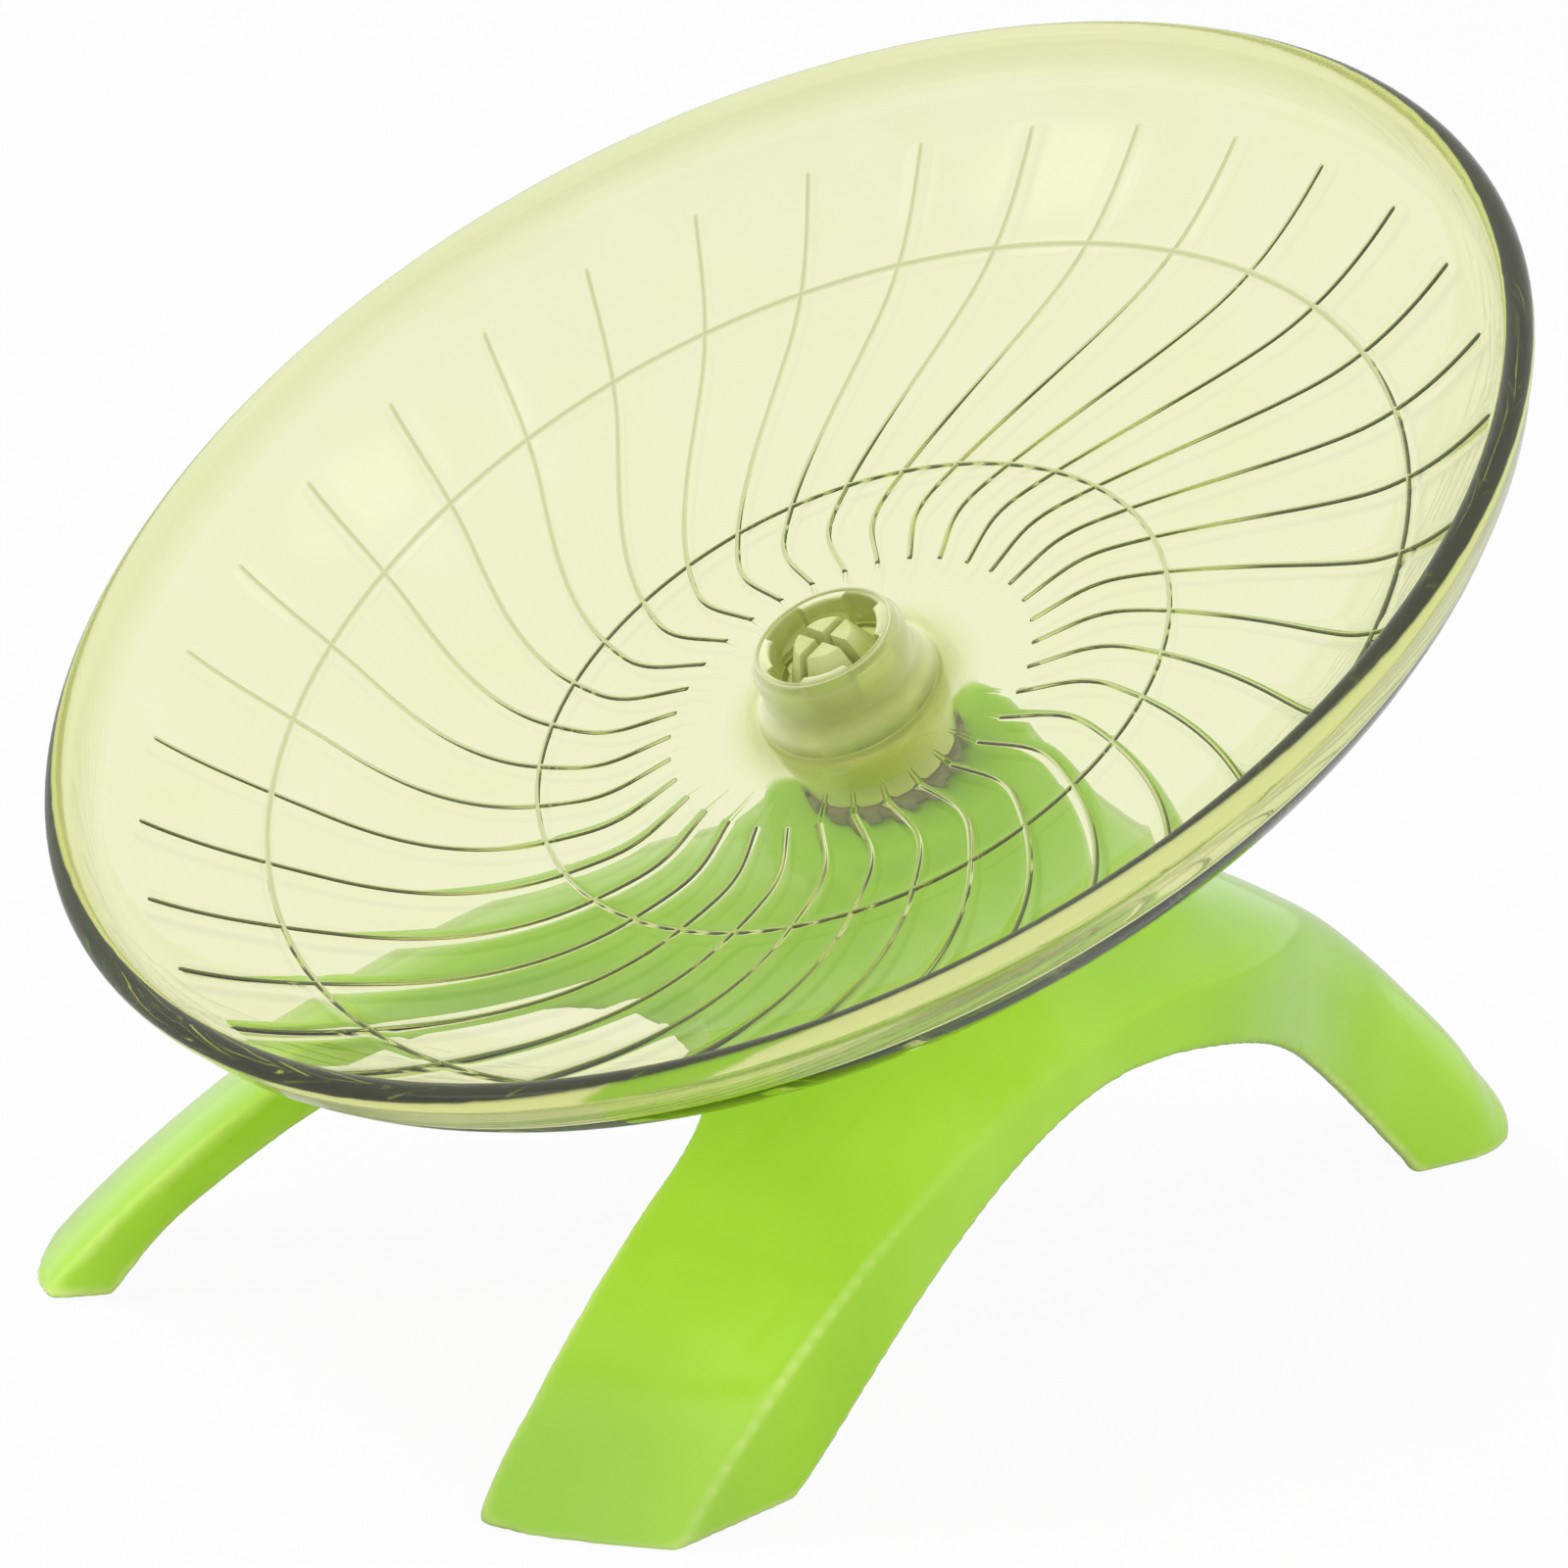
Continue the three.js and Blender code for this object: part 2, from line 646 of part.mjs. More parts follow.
const limePlastic = { color: '#a0dc3c', roughness: 0.25, metalness: 0 };
const clearPlastic = { color: '#e6efa8', roughness: 0.08, metalness: 0, transparent: true, opacity: 0.35 };
const smokedPlastic = { color: '#9c9580', roughness: 0.2, metalness: 0, transparent: true, opacity: 0.8 };

function piece(name, solid, look) {
  const mesh = new THREE.Mesh(toGeometry(solid), new THREE.MeshStandardMaterial(look));
  mesh.name = name;
  return mesh;
}

const onAxle = new THREE.Group();
onAxle.add(piece('running_dish', dishSolid(), clearPlastic));
onAxle.add(piece('axle_pin', pinSolid(), clearPlastic));
onAxle.add(piece('thrust_ring', ringSolid(), smokedPlastic));
onAxle.position.set(crownForward, 0, crownHeight);
onAxle.rotation.y = rad(tilt);

const wheel = new THREE.Group();
wheel.add(piece('stand_shell', standSolid(), limePlastic));
wheel.add(onAxle);

// The origin is on the ground under the middle of the whole wheel
wheel.updateMatrixWorld(true);
const extent = new THREE.Box3().setFromObject(wheel, true);
wheel.position.x = -(extent.min.x + extent.max.x) / 2;
wheel.position.y = -(extent.min.y + extent.max.y) / 2;

export default wheel;
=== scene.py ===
import json
import math

import bmesh
import bpy
import numpy as np
from mathutils import Matrix, Vector


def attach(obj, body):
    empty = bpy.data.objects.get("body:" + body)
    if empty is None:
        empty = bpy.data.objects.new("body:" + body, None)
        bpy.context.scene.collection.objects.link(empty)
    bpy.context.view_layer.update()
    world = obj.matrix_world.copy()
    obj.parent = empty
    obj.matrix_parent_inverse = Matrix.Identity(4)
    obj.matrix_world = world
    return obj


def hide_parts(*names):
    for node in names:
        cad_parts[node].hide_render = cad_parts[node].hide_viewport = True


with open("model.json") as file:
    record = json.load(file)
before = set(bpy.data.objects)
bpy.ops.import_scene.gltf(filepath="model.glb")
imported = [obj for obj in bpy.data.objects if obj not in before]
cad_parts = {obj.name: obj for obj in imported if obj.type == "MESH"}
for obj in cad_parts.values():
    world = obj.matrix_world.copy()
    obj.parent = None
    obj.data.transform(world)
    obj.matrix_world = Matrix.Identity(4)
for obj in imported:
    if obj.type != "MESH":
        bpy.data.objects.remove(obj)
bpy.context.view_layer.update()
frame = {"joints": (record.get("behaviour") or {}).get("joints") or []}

# Lengths are in millimetres until a mesh is placed, and angles in degrees. The dish, the pin and the
# toothed ring are modelled along the axle, from the seat on top of the crown, and then put on it.
MM = 0.001

# Dish
DISH_RADIUS = 89.93
DISH_WALL = 2
BEAD_RADIUS = 1.7
LOWER_BEND = 62
LOWER_SWEEP = 44
UPPER_BEND = 24.6
UPPER_SWEEP = 23

# Raised grip lines on the running surface
RIB_COUNT = 34
RIB_WIDTH = 0.84
RIB_HEIGHT = 0.3
RIB_PHASE = 2.7
RIB_START = 0.249 * DISH_RADIUS
RIB_END = 0.914 * DISH_RADIUS
RINGS = [0.435 * DISH_RADIUS, 0.779 * DISH_RADIUS]
# Share of the way along a line, and how far the line has turned there
RIB_BENDS = [(0, 0), (0.13, 3.6), (0.28, -1), (0.63, -14.8), (0.8, -20), (1, -23.4)]

# Hub
HUB_RADIUS = 9.3
HUB_RISE = 8.4
HUB_DROP = 11.1
HUB_FLARE = 7.1
HUB_FLARE_RISE = 3.4
LIP_RADIUS = 8.45
LIP_HEIGHT = 1.5
RECESS_RADIUS = 6.5
RECESS_LOBE = 0.9
RECESS_LOBE_ANGLE = 46
RECESS_DEPTH = 5.5
LOBES = 4

# Pin and toothed ring
SEAT_GAP = 0.3
RUN_GAP = 0.4
PIN_RADIUS = 4.4
SHANK_RADIUS = 3.6
SHANK_LENGTH = 17
BARB_REACH = 1
BARB_THICKNESS = 1.2
PRONG_TIP_RADIUS = 3.6
PRONG_SLOT = 1.3
PRONG_LENGTH = 11
RING_HEIGHT = 1.6
RING_RADIUS = 9.4
TOOTH_COUNT = 14
TOOTH_REACH = 0.7
TOOTH_SHARE = 0.55

# Stand, an oval dome cut away to three legs, measured from the middle of the dome
DOME_FRONT = 110.5
DOME_REAR = 107
DOME_WIDTH = 172
DOME_RISE = 52
DOME_CURVE = 1.85
STAND_WALL = 2.2
FOOT_INNER = 39
FOOT_OUTER = 56.5
FOOT_CORNER = 4
INNER_SPLAY = math.radians(17.8)
OUTER_SPLAY = math.radians(12.2)
CROTCH_RADIUS = 29
WAIST = -10
REAR_LEG_WIDTH = 24.6
REAR_LEG_START = -80
WAIST_PULL = 0.417
REAR_REACH = 106.1
REAR_END = 18
REAR_EDGE = 10.5
WAIST_EDGE = 1
SIDE_ARCH_RISE = 34.8
LEFT_ARCH = (63, 80)
RIGHT_ARCH = (72, 97)
LEFT_ARCH_CURVE = 1.2
RIGHT_ARCH_CURVE = 0.95
FRONT_ARCH_RISE = 38.5
FRONT_ARCH_START = 10
FRONT_ARCH_LENGTH = 82
FRONT_ARCH_CURVE = 0.8

# Crown with its socket
CROWN_FORWARD = 7.3
CROWN_HEIGHT = 61
CROWN_RADIUS = 17
CROWN_EDGE = 3
CROWN_BASE_FRONT = 37
CROWN_BASE_REAR = 44
CROWN_BASE_WIDTH = 70
CROWN_BASE_HEIGHT = 42.5
CROWN_FLARE = 1.15
SOCKET_WALL = 2.8
SOCKET_FLOOR = 2.4

HUB_BOTTOM = SEAT_GAP + RING_HEIGHT + SEAT_GAP
FLOOR_LEVEL = HUB_BOTTOM + HUB_DROP
HUB_TOP = FLOOR_LEVEL + HUB_RISE
LEDGE_LEVEL = HUB_TOP - RECESS_DEPTH
LOWER_RISE = LOWER_BEND * (1 - math.cos(math.radians(LOWER_SWEEP)))
WALL_ANGLE = LOWER_SWEEP + UPPER_SWEEP
RIM_LEVEL = FLOOR_LEVEL + LOWER_RISE + UPPER_BEND * (
    math.cos(math.radians(LOWER_SWEEP)) - math.cos(math.radians(WALL_ANGLE)))

joint = frame["joints"][0]
TILT = Matrix.Rotation(math.atan2(joint["axis"][0], joint["axis"][2]), 4, "Y")
AXLE = Matrix.Translation(Vector(joint["pos_m"])) @ TILT
CROWN_TOP = Vector((CROWN_FORWARD, 0, CROWN_HEIGHT))
CROWN_PLACE = Matrix.Translation(CROWN_TOP) @ TILT


# ---- small helpers

def linear(code):
    """The linear colour, with alpha 1, for an sRGB hex code."""
    values = [int(code[i:i + 2], 16) / 255 for i in (1, 3, 5)]
    return [v / 12.92 if v <= 0.04045 else ((v + 0.055) / 1.055) ** 2.4 for v in values] + [1]


def deselect():
    if bpy.context.object and bpy.context.object.mode != "OBJECT":
        bpy.ops.object.mode_set(mode="OBJECT")
    bpy.ops.object.select_all(action="DESELECT")


def make_active(obj):
    deselect()
    obj.select_set(True)
    bpy.context.view_layer.objects.active = obj


def new_mesh(name, points, faces):
    mesh = bpy.data.meshes.new(name)
    mesh.from_pydata([tuple(p) for p in points], [], faces)
    mesh.update()
    obj = bpy.data.objects.new(name, mesh)
    bpy.context.scene.collection.objects.link(obj)
    return obj


def mend_normals(obj):
    make_active(obj)
    bpy.ops.object.mode_set(mode="EDIT")
    bpy.ops.mesh.select_all(action="SELECT")
    bpy.ops.mesh.remove_doubles(threshold=1e-7)
    bpy.ops.mesh.normals_make_consistent(inside=False)
    bpy.ops.object.mode_set(mode="OBJECT")


def smooth(obj, angle=40):
    make_active(obj)
    bpy.ops.object.shade_smooth_by_angle(angle=math.radians(angle))


def put_on_axle(obj):
    obj.data.transform(AXLE @ Matrix.Scale(MM, 4))
    obj.data.update()


def apply_modifiers(obj):
    make_active(obj)
    for modifier in list(obj.modifiers):
        bpy.ops.object.modifier_apply(modifier=modifier.name)


def break_edges(obj, width):
    """A small bevel on every sharp edge."""
    bevel = obj.modifiers.new("edge", "BEVEL")
    bevel.width = width
    bevel.segments = 2
    bevel.angle_limit = math.radians(50)
    apply_modifiers(obj)


def soften(obj, times, group=""):
    """Smooths the mesh, or the vertices of one group by their weight."""
    modifier = obj.modifiers.new("soft", "SMOOTH")
    modifier.factor = 0.5
    modifier.iterations = times
    modifier.vertex_group = group
    apply_modifiers(obj)


def vertex_places(mesh):
    places = np.zeros(len(mesh.vertices) * 3)
    mesh.vertices.foreach_get("co", places)
    return places.reshape(-1, 3)


def spun(name, profile, steps):
    """A body spun about the axle from points of radius and level."""
    deselect()
    count = len(profile)
    obj = new_mesh(name, [(r, 0, h) for r, h in profile], [])
    make_active(obj)
    bpy.ops.object.mode_set(mode="EDIT")
    work = bmesh.from_edit_mesh(obj.data)
    work.verts.ensure_lookup_table()
    for i in range(count - 1):
        work.edges.new((work.verts[i], work.verts[i + 1]))
    bmesh.update_edit_mesh(obj.data)
    bpy.ops.mesh.select_all(action="SELECT")
    bpy.ops.mesh.spin(steps=steps, angle=2 * math.pi, center=(0, 0, 0), axis=(0, 0, 1))
    bpy.ops.mesh.select_all(action="SELECT")
    bpy.ops.mesh.remove_doubles(threshold=1e-4)
    bpy.ops.mesh.normals_make_consistent(inside=False)
    bpy.ops.object.mode_set(mode="OBJECT")
    return obj


def cut(obj, cutter, operation="DIFFERENCE"):
    modifier = obj.modifiers.new(operation.lower(), "BOOLEAN")
    modifier.operation = operation
    modifier.solver = "MANIFOLD"
    modifier.object = cutter
    make_active(obj)
    bpy.ops.object.modifier_apply(modifier=modifier.name)
    bpy.data.objects.remove(cutter)


# ---- dish

ROW_STEP = 1.3  # most between two rows of points on the running surface
# The bead's cloudy share carries a darker olive, partly painted shade.
BEAD_HAZE = 0.05  # share of the hub's cloudy look on the bead
BEND_START = DISH_RADIUS - BEAD_RADIUS - LOWER_BEND * math.sin(math.radians(LOWER_SWEEP)) - UPPER_BEND * (
    math.sin(math.radians(WALL_ANGLE)) - math.sin(math.radians(LOWER_SWEEP)))
BEND_CHANGE = BEND_START + LOWER_BEND * math.sin(math.radians(LOWER_SWEEP))
FLARE_END = HUB_RADIUS + HUB_FLARE


def surface_at(radius):
    """Level and slope of the running surface at a radius."""
    if radius < FLARE_END:
        angle = math.asin(min((FLARE_END - radius) / HUB_FLARE, 1))
        return FLOOR_LEVEL + HUB_FLARE_RISE * (1 - math.cos(angle)), 0
    if radius < BEND_START:
        return FLOOR_LEVEL, 0
    if radius < BEND_CHANGE:
        angle = math.asin((radius - BEND_START) / LOWER_BEND)
        return FLOOR_LEVEL + LOWER_BEND * (1 - math.cos(angle)), angle
    angle = math.asin(min((radius - BEND_CHANGE) / UPPER_BEND + math.sin(math.radians(LOWER_SWEEP)), 1))
    rise = UPPER_BEND * (math.cos(math.radians(LOWER_SWEEP)) - math.cos(angle))
    return FLOOR_LEVEL + LOWER_RISE + rise, angle


def through_points(points, steps):
    """Points on the smooth curve that runs through the given ones."""
    last = len(points) - 1
    table = []
    for i in range(steps + 1):
        place = last * i / steps
        at = min(int(place), last - 1)
        t = place - at
        p0, p1, p2, p3 = (np.array(points[min(max(at + k, 0), last)], float) for k in (-1, 0, 1, 2))
        v0, v1 = (p2 - p0) / 2, (p3 - p1) / 2
        cubic = 2 * p1 - 2 * p2 + v0 + v1
        square = 3 * p2 - 3 * p1 - 2 * v0 - v1
        table.append(cubic * t ** 3 + square * t ** 2 + v0 * t + p1)
    return np.array(table)


RIB_TABLE = through_points(RIB_BENDS, 120)


def rib_turn(radius):
    """How far the grip lines have turned at a radius, in radians."""
    share = min(max((radius - RIB_START) / (RIB_END - RIB_START), 0), 1)
    return math.radians(np.interp(share, RIB_TABLE[:, 0], RIB_TABLE[:, 1]))


def rib_half_angle(radius):
    step = RIB_WIDTH / 2
    lean = (rib_turn(radius + step) - rib_turn(radius - step)) / (2 * step) * radius
    return RIB_WIDTH / 2 * math.hypot(1, lean) / radius


RIB_COLUMNS = [-1, -0.86, -0.62, -0.32, 0, 0.32, 0.62, 0.86, 1]  # across a line, in half widths
GAP_COLUMNS = 4


def ridge(share):
    """Height of a rounded ridge at a share of its half width."""
    return RIB_HEIGHT * math.cos(math.pi / 2 * min(abs(share), 1)) ** 1.6


def grip_radii():
    half = RIB_WIDTH / 2
    stops = {RIB_START, RIB_END, BEND_START, BEND_CHANGE}
    for end, inward in ((RIB_START, 1), (RIB_END, -1)):
        for share in (0.15, 0.45, 1):
            stops.add(end + inward * half * share)
    for ring in RINGS:
        for share in RIB_COLUMNS:
            stops.add(ring + share * half)
    filled = sorted(stops)
    out = [filled[0]]
    for stop in filled[1:]:
        gap = stop - out[-1]
        parts = math.ceil(gap / ROW_STEP)
        for i in range(1, parts):
            out.append(out[-1] + gap / parts)
        out.append(stop)
    return out


def lobed(angle):
    """How far the four lobes of the recess reach out at an angle."""
    off = abs((math.degrees(angle) + 180 / LOBES) % (360 / LOBES) - 180 / LOBES)
    edge = 3
    return RECESS_LOBE * min(max((RECESS_LOBE_ANGLE / 2 + edge / 2 - off) / edge, 0), 1)


def clear_dish():
    """The bowl, its bead, grip lines and hub as one moulding, from one closed profile spun about the axle."""
    half = RIB_WIDTH / 2
    rows = []  # radius, level, turn, slope, where the grip lines show, lobed, share of the hub's look

    def add(radius, level, turn=0.0, slope=0.0, grip=0.0, lobe=False, zone=0.0):
        rows.append((radius, level, turn, slope, grip, lobe, zone))

    # The sweep from the hub down to the floor, cloudy only beside the hub
    steps = 10
    cloudy_to, clear_from = HUB_RADIUS + 1, HUB_RADIUS + 3.6
    for i in range(steps):
        radius = HUB_RADIUS + HUB_FLARE * (1 - math.cos(math.pi / 2 * i / steps))
        level, slope = surface_at(radius)
        add(radius, level, zone=0.5 * min(max((clear_from - radius) / (clear_from - cloudy_to), 0), 1))
    add(FLARE_END, FLOOR_LEVEL)
    for radius in grip_radii():
        level, slope = surface_at(radius)
        ends = min(radius - RIB_START, RIB_END - radius) / half
        add(radius, level, rib_turn(radius), slope, math.sqrt(max(1 - (1 - min(ends, 1)) ** 2, 0)))
    end_turn = rib_turn(RIB_END)
    # The wall from the end of the grip lines up to the bead
    wall_steps, bead_steps, under_steps = 6, 18, 40
    bead_centre = DISH_RADIUS - BEAD_RADIUS
    bead_from = WALL_ANGLE + 90 + 30
    bead_to = WALL_ANGLE - 90 - 20
    first = bead_centre + BEAD_RADIUS * math.cos(math.radians(bead_from))
    for i in range(1, wall_steps):
        radius = RIB_END + (first - RIB_END) * i / wall_steps
        level, slope = surface_at(radius)
        add(radius, level, end_turn)
    for i in range(bead_steps + 1):
        angle = math.radians(bead_from + (bead_to - bead_from) * i / bead_steps)
        add(bead_centre + BEAD_RADIUS * math.cos(angle), RIM_LEVEL + BEAD_RADIUS * math.sin(angle), end_turn,
            zone=BEAD_HAZE)
    # Underside
    for i in range(under_steps + 1):
        radius = first - (first - FLARE_END) * i / under_steps
        level, slope = surface_at(radius)
        add(radius + DISH_WALL * math.sin(slope), level - DISH_WALL * math.cos(slope), rib_turn(radius))
    under = FLOOR_LEVEL - DISH_WALL
    fillet = 1.5
    for i in range(7):
        angle = math.pi / 2 * i / 6
        add(HUB_RADIUS + fillet * (1 - math.sin(angle)), under - fillet * (1 - math.cos(angle)), zone=0.5)
    # Hub: down its wall, round its lower end, up the bore, the ledge, the recess and the top
    round_off = 0.35
    inner = PIN_RADIUS + RUN_GAP
    add(HUB_RADIUS, (under + HUB_BOTTOM) / 2, zone=0.5)
    for i in range(4):
        angle = math.pi / 2 * i / 3
        add(HUB_RADIUS - round_off * (1 - math.cos(angle)), HUB_BOTTOM + round_off * (1 - math.sin(angle)),
            zone=0.5)
    add(inner + round_off, HUB_BOTTOM, zone=0.5)
    add(inner, HUB_BOTTOM + round_off, zone=0.5)
    add(inner, (HUB_BOTTOM + LEDGE_LEVEL) / 2, zone=0.5)
    add(inner, LEDGE_LEVEL - round_off, zone=1)
    add(inner + round_off, LEDGE_LEVEL, zone=1)
    add(RECESS_RADIUS - round_off, LEDGE_LEVEL, lobe=True, zone=1)
    add(RECESS_RADIUS, LEDGE_LEVEL + round_off, lobe=True, zone=1)
    add(RECESS_RADIUS, HUB_TOP - round_off, lobe=True, zone=1)
    add(RECESS_RADIUS + round_off * 0.3, HUB_TOP - round_off * 0.3, lobe=True, zone=0.7)
    add(RECESS_RADIUS + round_off, HUB_TOP, lobe=True, zone=0.5)
    # A fine lip round the top, and the shoulder from it out to the hub's wall
    lip = 0.3
    add(LIP_RADIUS - 2 * lip, HUB_TOP - 0.1, zone=0.5)
    for i in range(5):
        angle = math.pi * i / 4
        add(LIP_RADIUS - lip / 2 - lip * math.cos(angle), HUB_TOP - lip * (1 - math.sin(angle)), zone=0.4)
    add(LIP_RADIUS + lip, HUB_TOP - LIP_HEIGHT / 2, zone=0.4)
    add(HUB_RADIUS - lip / 2, HUB_TOP - LIP_HEIGHT + lip / 2, zone=0.5)
    add(HUB_RADIUS, HUB_TOP - LIP_HEIGHT, zone=0.5)

    pitch = 2 * math.pi / RIB_COUNT
    columns = len(RIB_COLUMNS) + GAP_COLUMNS
    total = RIB_COUNT * columns
    points = np.zeros((len(rows), total, 3))
    zones = np.zeros((len(rows), total))
    lines = np.zeros((len(rows), total))
    for r, (radius, level, turn, slope, grip, lobe, zone) in enumerate(rows):
        half_angle = rib_half_angle(min(max(radius, RIB_START), RIB_END))
        zones[r] = zone
        offsets = [share * half_angle for share in RIB_COLUMNS]
        rest = pitch - 2 * half_angle
        offsets += [half_angle + rest * (i + 1) / (GAP_COLUMNS + 1) for i in range(GAP_COLUMNS)]
        ring = max(ridge((radius - place) / half) if abs(radius - place) < half else 0 for place in RINGS)
        for c, offset in enumerate(offsets):
            lift = ridge(RIB_COLUMNS[c]) * grip if c < len(RIB_COLUMNS) else 0
            lift = max(lift, ring) if grip else 0
            lines[r, c::columns] = lift / RIB_HEIGHT
            for k in range(RIB_COUNT):
                angle = k * pitch + offset + turn + math.radians(RIB_PHASE)
                reach = radius - lift * math.sin(slope) + (lobed(angle) if lobe else 0)
                points[r, k * columns + c] = (
                    reach * math.cos(angle), reach * math.sin(angle), level + lift * math.cos(slope))
    faces = []
    for r in range(len(rows)):
        below = (r + 1) % len(rows)
        for c in range(total):
            side = (c + 1) % total
            faces.append((r * total + c, below * total + c, below * total + side, r * total + side))
    obj = new_mesh("clear_dish", points.reshape(-1, 3), faces)
    for key, values in (("zone", zones), ("line", lines)):
        attribute = obj.data.attributes.new(key, "FLOAT", "POINT")
        attribute.data.foreach_set("value", values.ravel())
    put_on_axle(obj)
    mend_normals(obj)
    smooth(obj, 50)
    return obj


# ---- pin and toothed ring

PRONG_BEVEL = 0.12
TOOTH_BEVEL = 0.15
SLOT_OVERRUN = 4  # how far the slots' cutter stands above the prongs


def snap_pin():
    barb = PIN_RADIUS + BARB_REACH
    barb_level = LEDGE_LEVEL + SEAT_GAP
    bottom = -SHANK_LENGTH + SEAT_GAP
    obj = spun("snap_pin", [
        (0, bottom), (SHANK_RADIUS - 0.4, bottom), (SHANK_RADIUS, bottom + 0.4), (SHANK_RADIUS, SEAT_GAP),
        (PIN_RADIUS - 0.2, SEAT_GAP), (PIN_RADIUS, SEAT_GAP + 0.2), (PIN_RADIUS, barb_level),
        (barb - 0.15, barb_level), (barb, barb_level + 0.15), (barb, barb_level + BARB_THICKNESS),
        (PRONG_TIP_RADIUS, HUB_TOP - 0.15), (PRONG_TIP_RADIUS - 0.2, HUB_TOP), (0, HUB_TOP),
    ], 64)
    low = HUB_TOP - PRONG_LENGTH
    for turn in (0, 90):
        bpy.ops.mesh.primitive_cube_add(size=1, location=(0, 0, (low + HUB_TOP + SLOT_OVERRUN) / 2))
        slot = bpy.context.object
        slot.scale = (PRONG_SLOT, 4 * barb, HUB_TOP + SLOT_OVERRUN - low)
        slot.rotation_euler = (0, 0, math.radians(turn))
        bpy.ops.object.transform_apply()
        cut(obj, slot)
    break_edges(obj, PRONG_BEVEL)
    put_on_axle(obj)
    mend_normals(obj)
    smooth(obj, 35)
    return obj


def toothed_ring():
    bottom = SEAT_GAP
    inner = PIN_RADIUS + SEAT_GAP
    pitch = 2 * math.pi / TOOTH_COUNT
    outline = []
    for tooth in range(TOOTH_COUNT):
        start = tooth * pitch
        stop = start + pitch * TOOTH_SHARE
        for i in range(5):
            outline.append((RING_RADIUS + TOOTH_REACH, start + (stop - start) * i / 4))
        for i in range(5):
            outline.append((RING_RADIUS, stop + (start + pitch - stop) * i / 4))
    count = len(outline)
    points = [(r * math.cos(a), r * math.sin(a), bottom) for r, a in outline]
    points += [(inner * math.cos(a), inner * math.sin(a), bottom) for r, a in outline]
    faces = [(i, count + i, count + (i + 1) % count, (i + 1) % count) for i in range(count)]
    obj = new_mesh("toothed_ring", points, faces)
    make_active(obj)
    bpy.ops.object.mode_set(mode="EDIT")
    bpy.ops.mesh.select_all(action="SELECT")
    bpy.ops.mesh.extrude_region_move(TRANSFORM_OT_translate={"value": (0, 0, RING_HEIGHT)})
    bpy.ops.object.mode_set(mode="OBJECT")
    mend_normals(obj)
    break_edges(obj, TOOTH_BEVEL)
    put_on_axle(obj)
    smooth(obj, 35)
    return obj


# ---- stand

OVERRUN = 4  # how far a cut runs past the face that it leaves
NEAR = 0.3  # places closer than this count as one
MESH_STEP = 0.46  # size of the even mesh that is softened
KEPT_SHARE = 0.4  # share of its triangles that stay afterwards
ROUND_REACH = 9  # how far the rounding between the front legs reaches
LEFT_ROUND_SHARE = 0.35  # how much of that rounding the left leg has
# The paleness on the edges of the lower legs, set by the next two numbers, is a painted highlight.
EDGE_HIGHLIGHT_TOP = 34  # height up to which the edges of the legs are pale
EDGE_BEND = (0.06, 0.2)  # bend per millimetre at which an edge starts to be pale, and is fully so
CROTCH_STEPS = 24
WAIST_STEPS = 48
REAR_STEPS = 30
EDGE_STEPS = 12
ARCH_STEPS = 48
SOFT_TIMES = 24  # rounds of smoothing on the whole stand
ROUND_TIMES = 240  # and between the front legs


def lofted(name, rings):
    """A closed body through rings of points, with flat ends."""
    count = len(rings[0])
    faces = []
    for r in range(len(rings) - 1):
        for c in range(count):
            side = (c + 1) % count
            faces.append((r * count + c, r * count + side, (r + 1) * count + side, (r + 1) * count + c))
    faces.append(tuple(reversed(range(count))))
    faces.append(tuple(range((len(rings) - 1) * count, len(rings) * count)))
    obj = new_mesh(name, [point for ring in rings for point in ring], faces)
    mend_normals(obj)
    return obj


def upright(outline, low, high):
    return lofted("upright", [[(x, y, z) for x, y in outline] for z in (low, high)])


def dome(depth):
    """The oval dome, or one that lies deeper and runs straight down below the ground."""
    steps, rings = 240, 60
    rise = DOME_RISE - depth
    levels = [(1, -OVERRUN / rise)] if depth else []
    for i in range(rings):
        angle = math.pi / 2 * i / rings
        levels.append((math.cos(angle), math.sin(angle) ** DOME_CURVE))
    levels.append((0.002, 1))
    body = []
    for reach, height in levels:
        ring = []
        for k in range(steps):
            angle = 2 * math.pi * k / steps
            length = (DOME_FRONT if math.cos(angle) > 0 else DOME_REAR) - depth
            width = DOME_WIDTH / 2 - depth
            ring.append((reach * length * math.cos(angle), reach * width * math.sin(angle), height * rise))
        body.append(ring)
    return lofted("dome", body)


def dome_height(x, y, depth):
    length = (DOME_FRONT if x > 0 else DOME_REAR) - depth
    rest = 1 - (x / length) ** 2 - (y / (DOME_WIDTH / 2 - depth)) ** 2
    return (DOME_RISE - depth) * max(rest, 0) ** (DOME_CURVE / 2)


def dome_edge(y):
    return DOME_FRONT * math.sqrt(1 - (2 * y / DOME_WIDTH) ** 2)


def bezier(points, steps):
    """Points on a Bezier curve after its first one."""
    line = []
    for i in range(1, steps + 1):
        t = i / steps
        row = [Vector(p) for p in points]
        while len(row) > 1:
            row = [a.lerp(b, t) for a, b in zip(row, row[1:])]
        line.append(row[0])
    return line


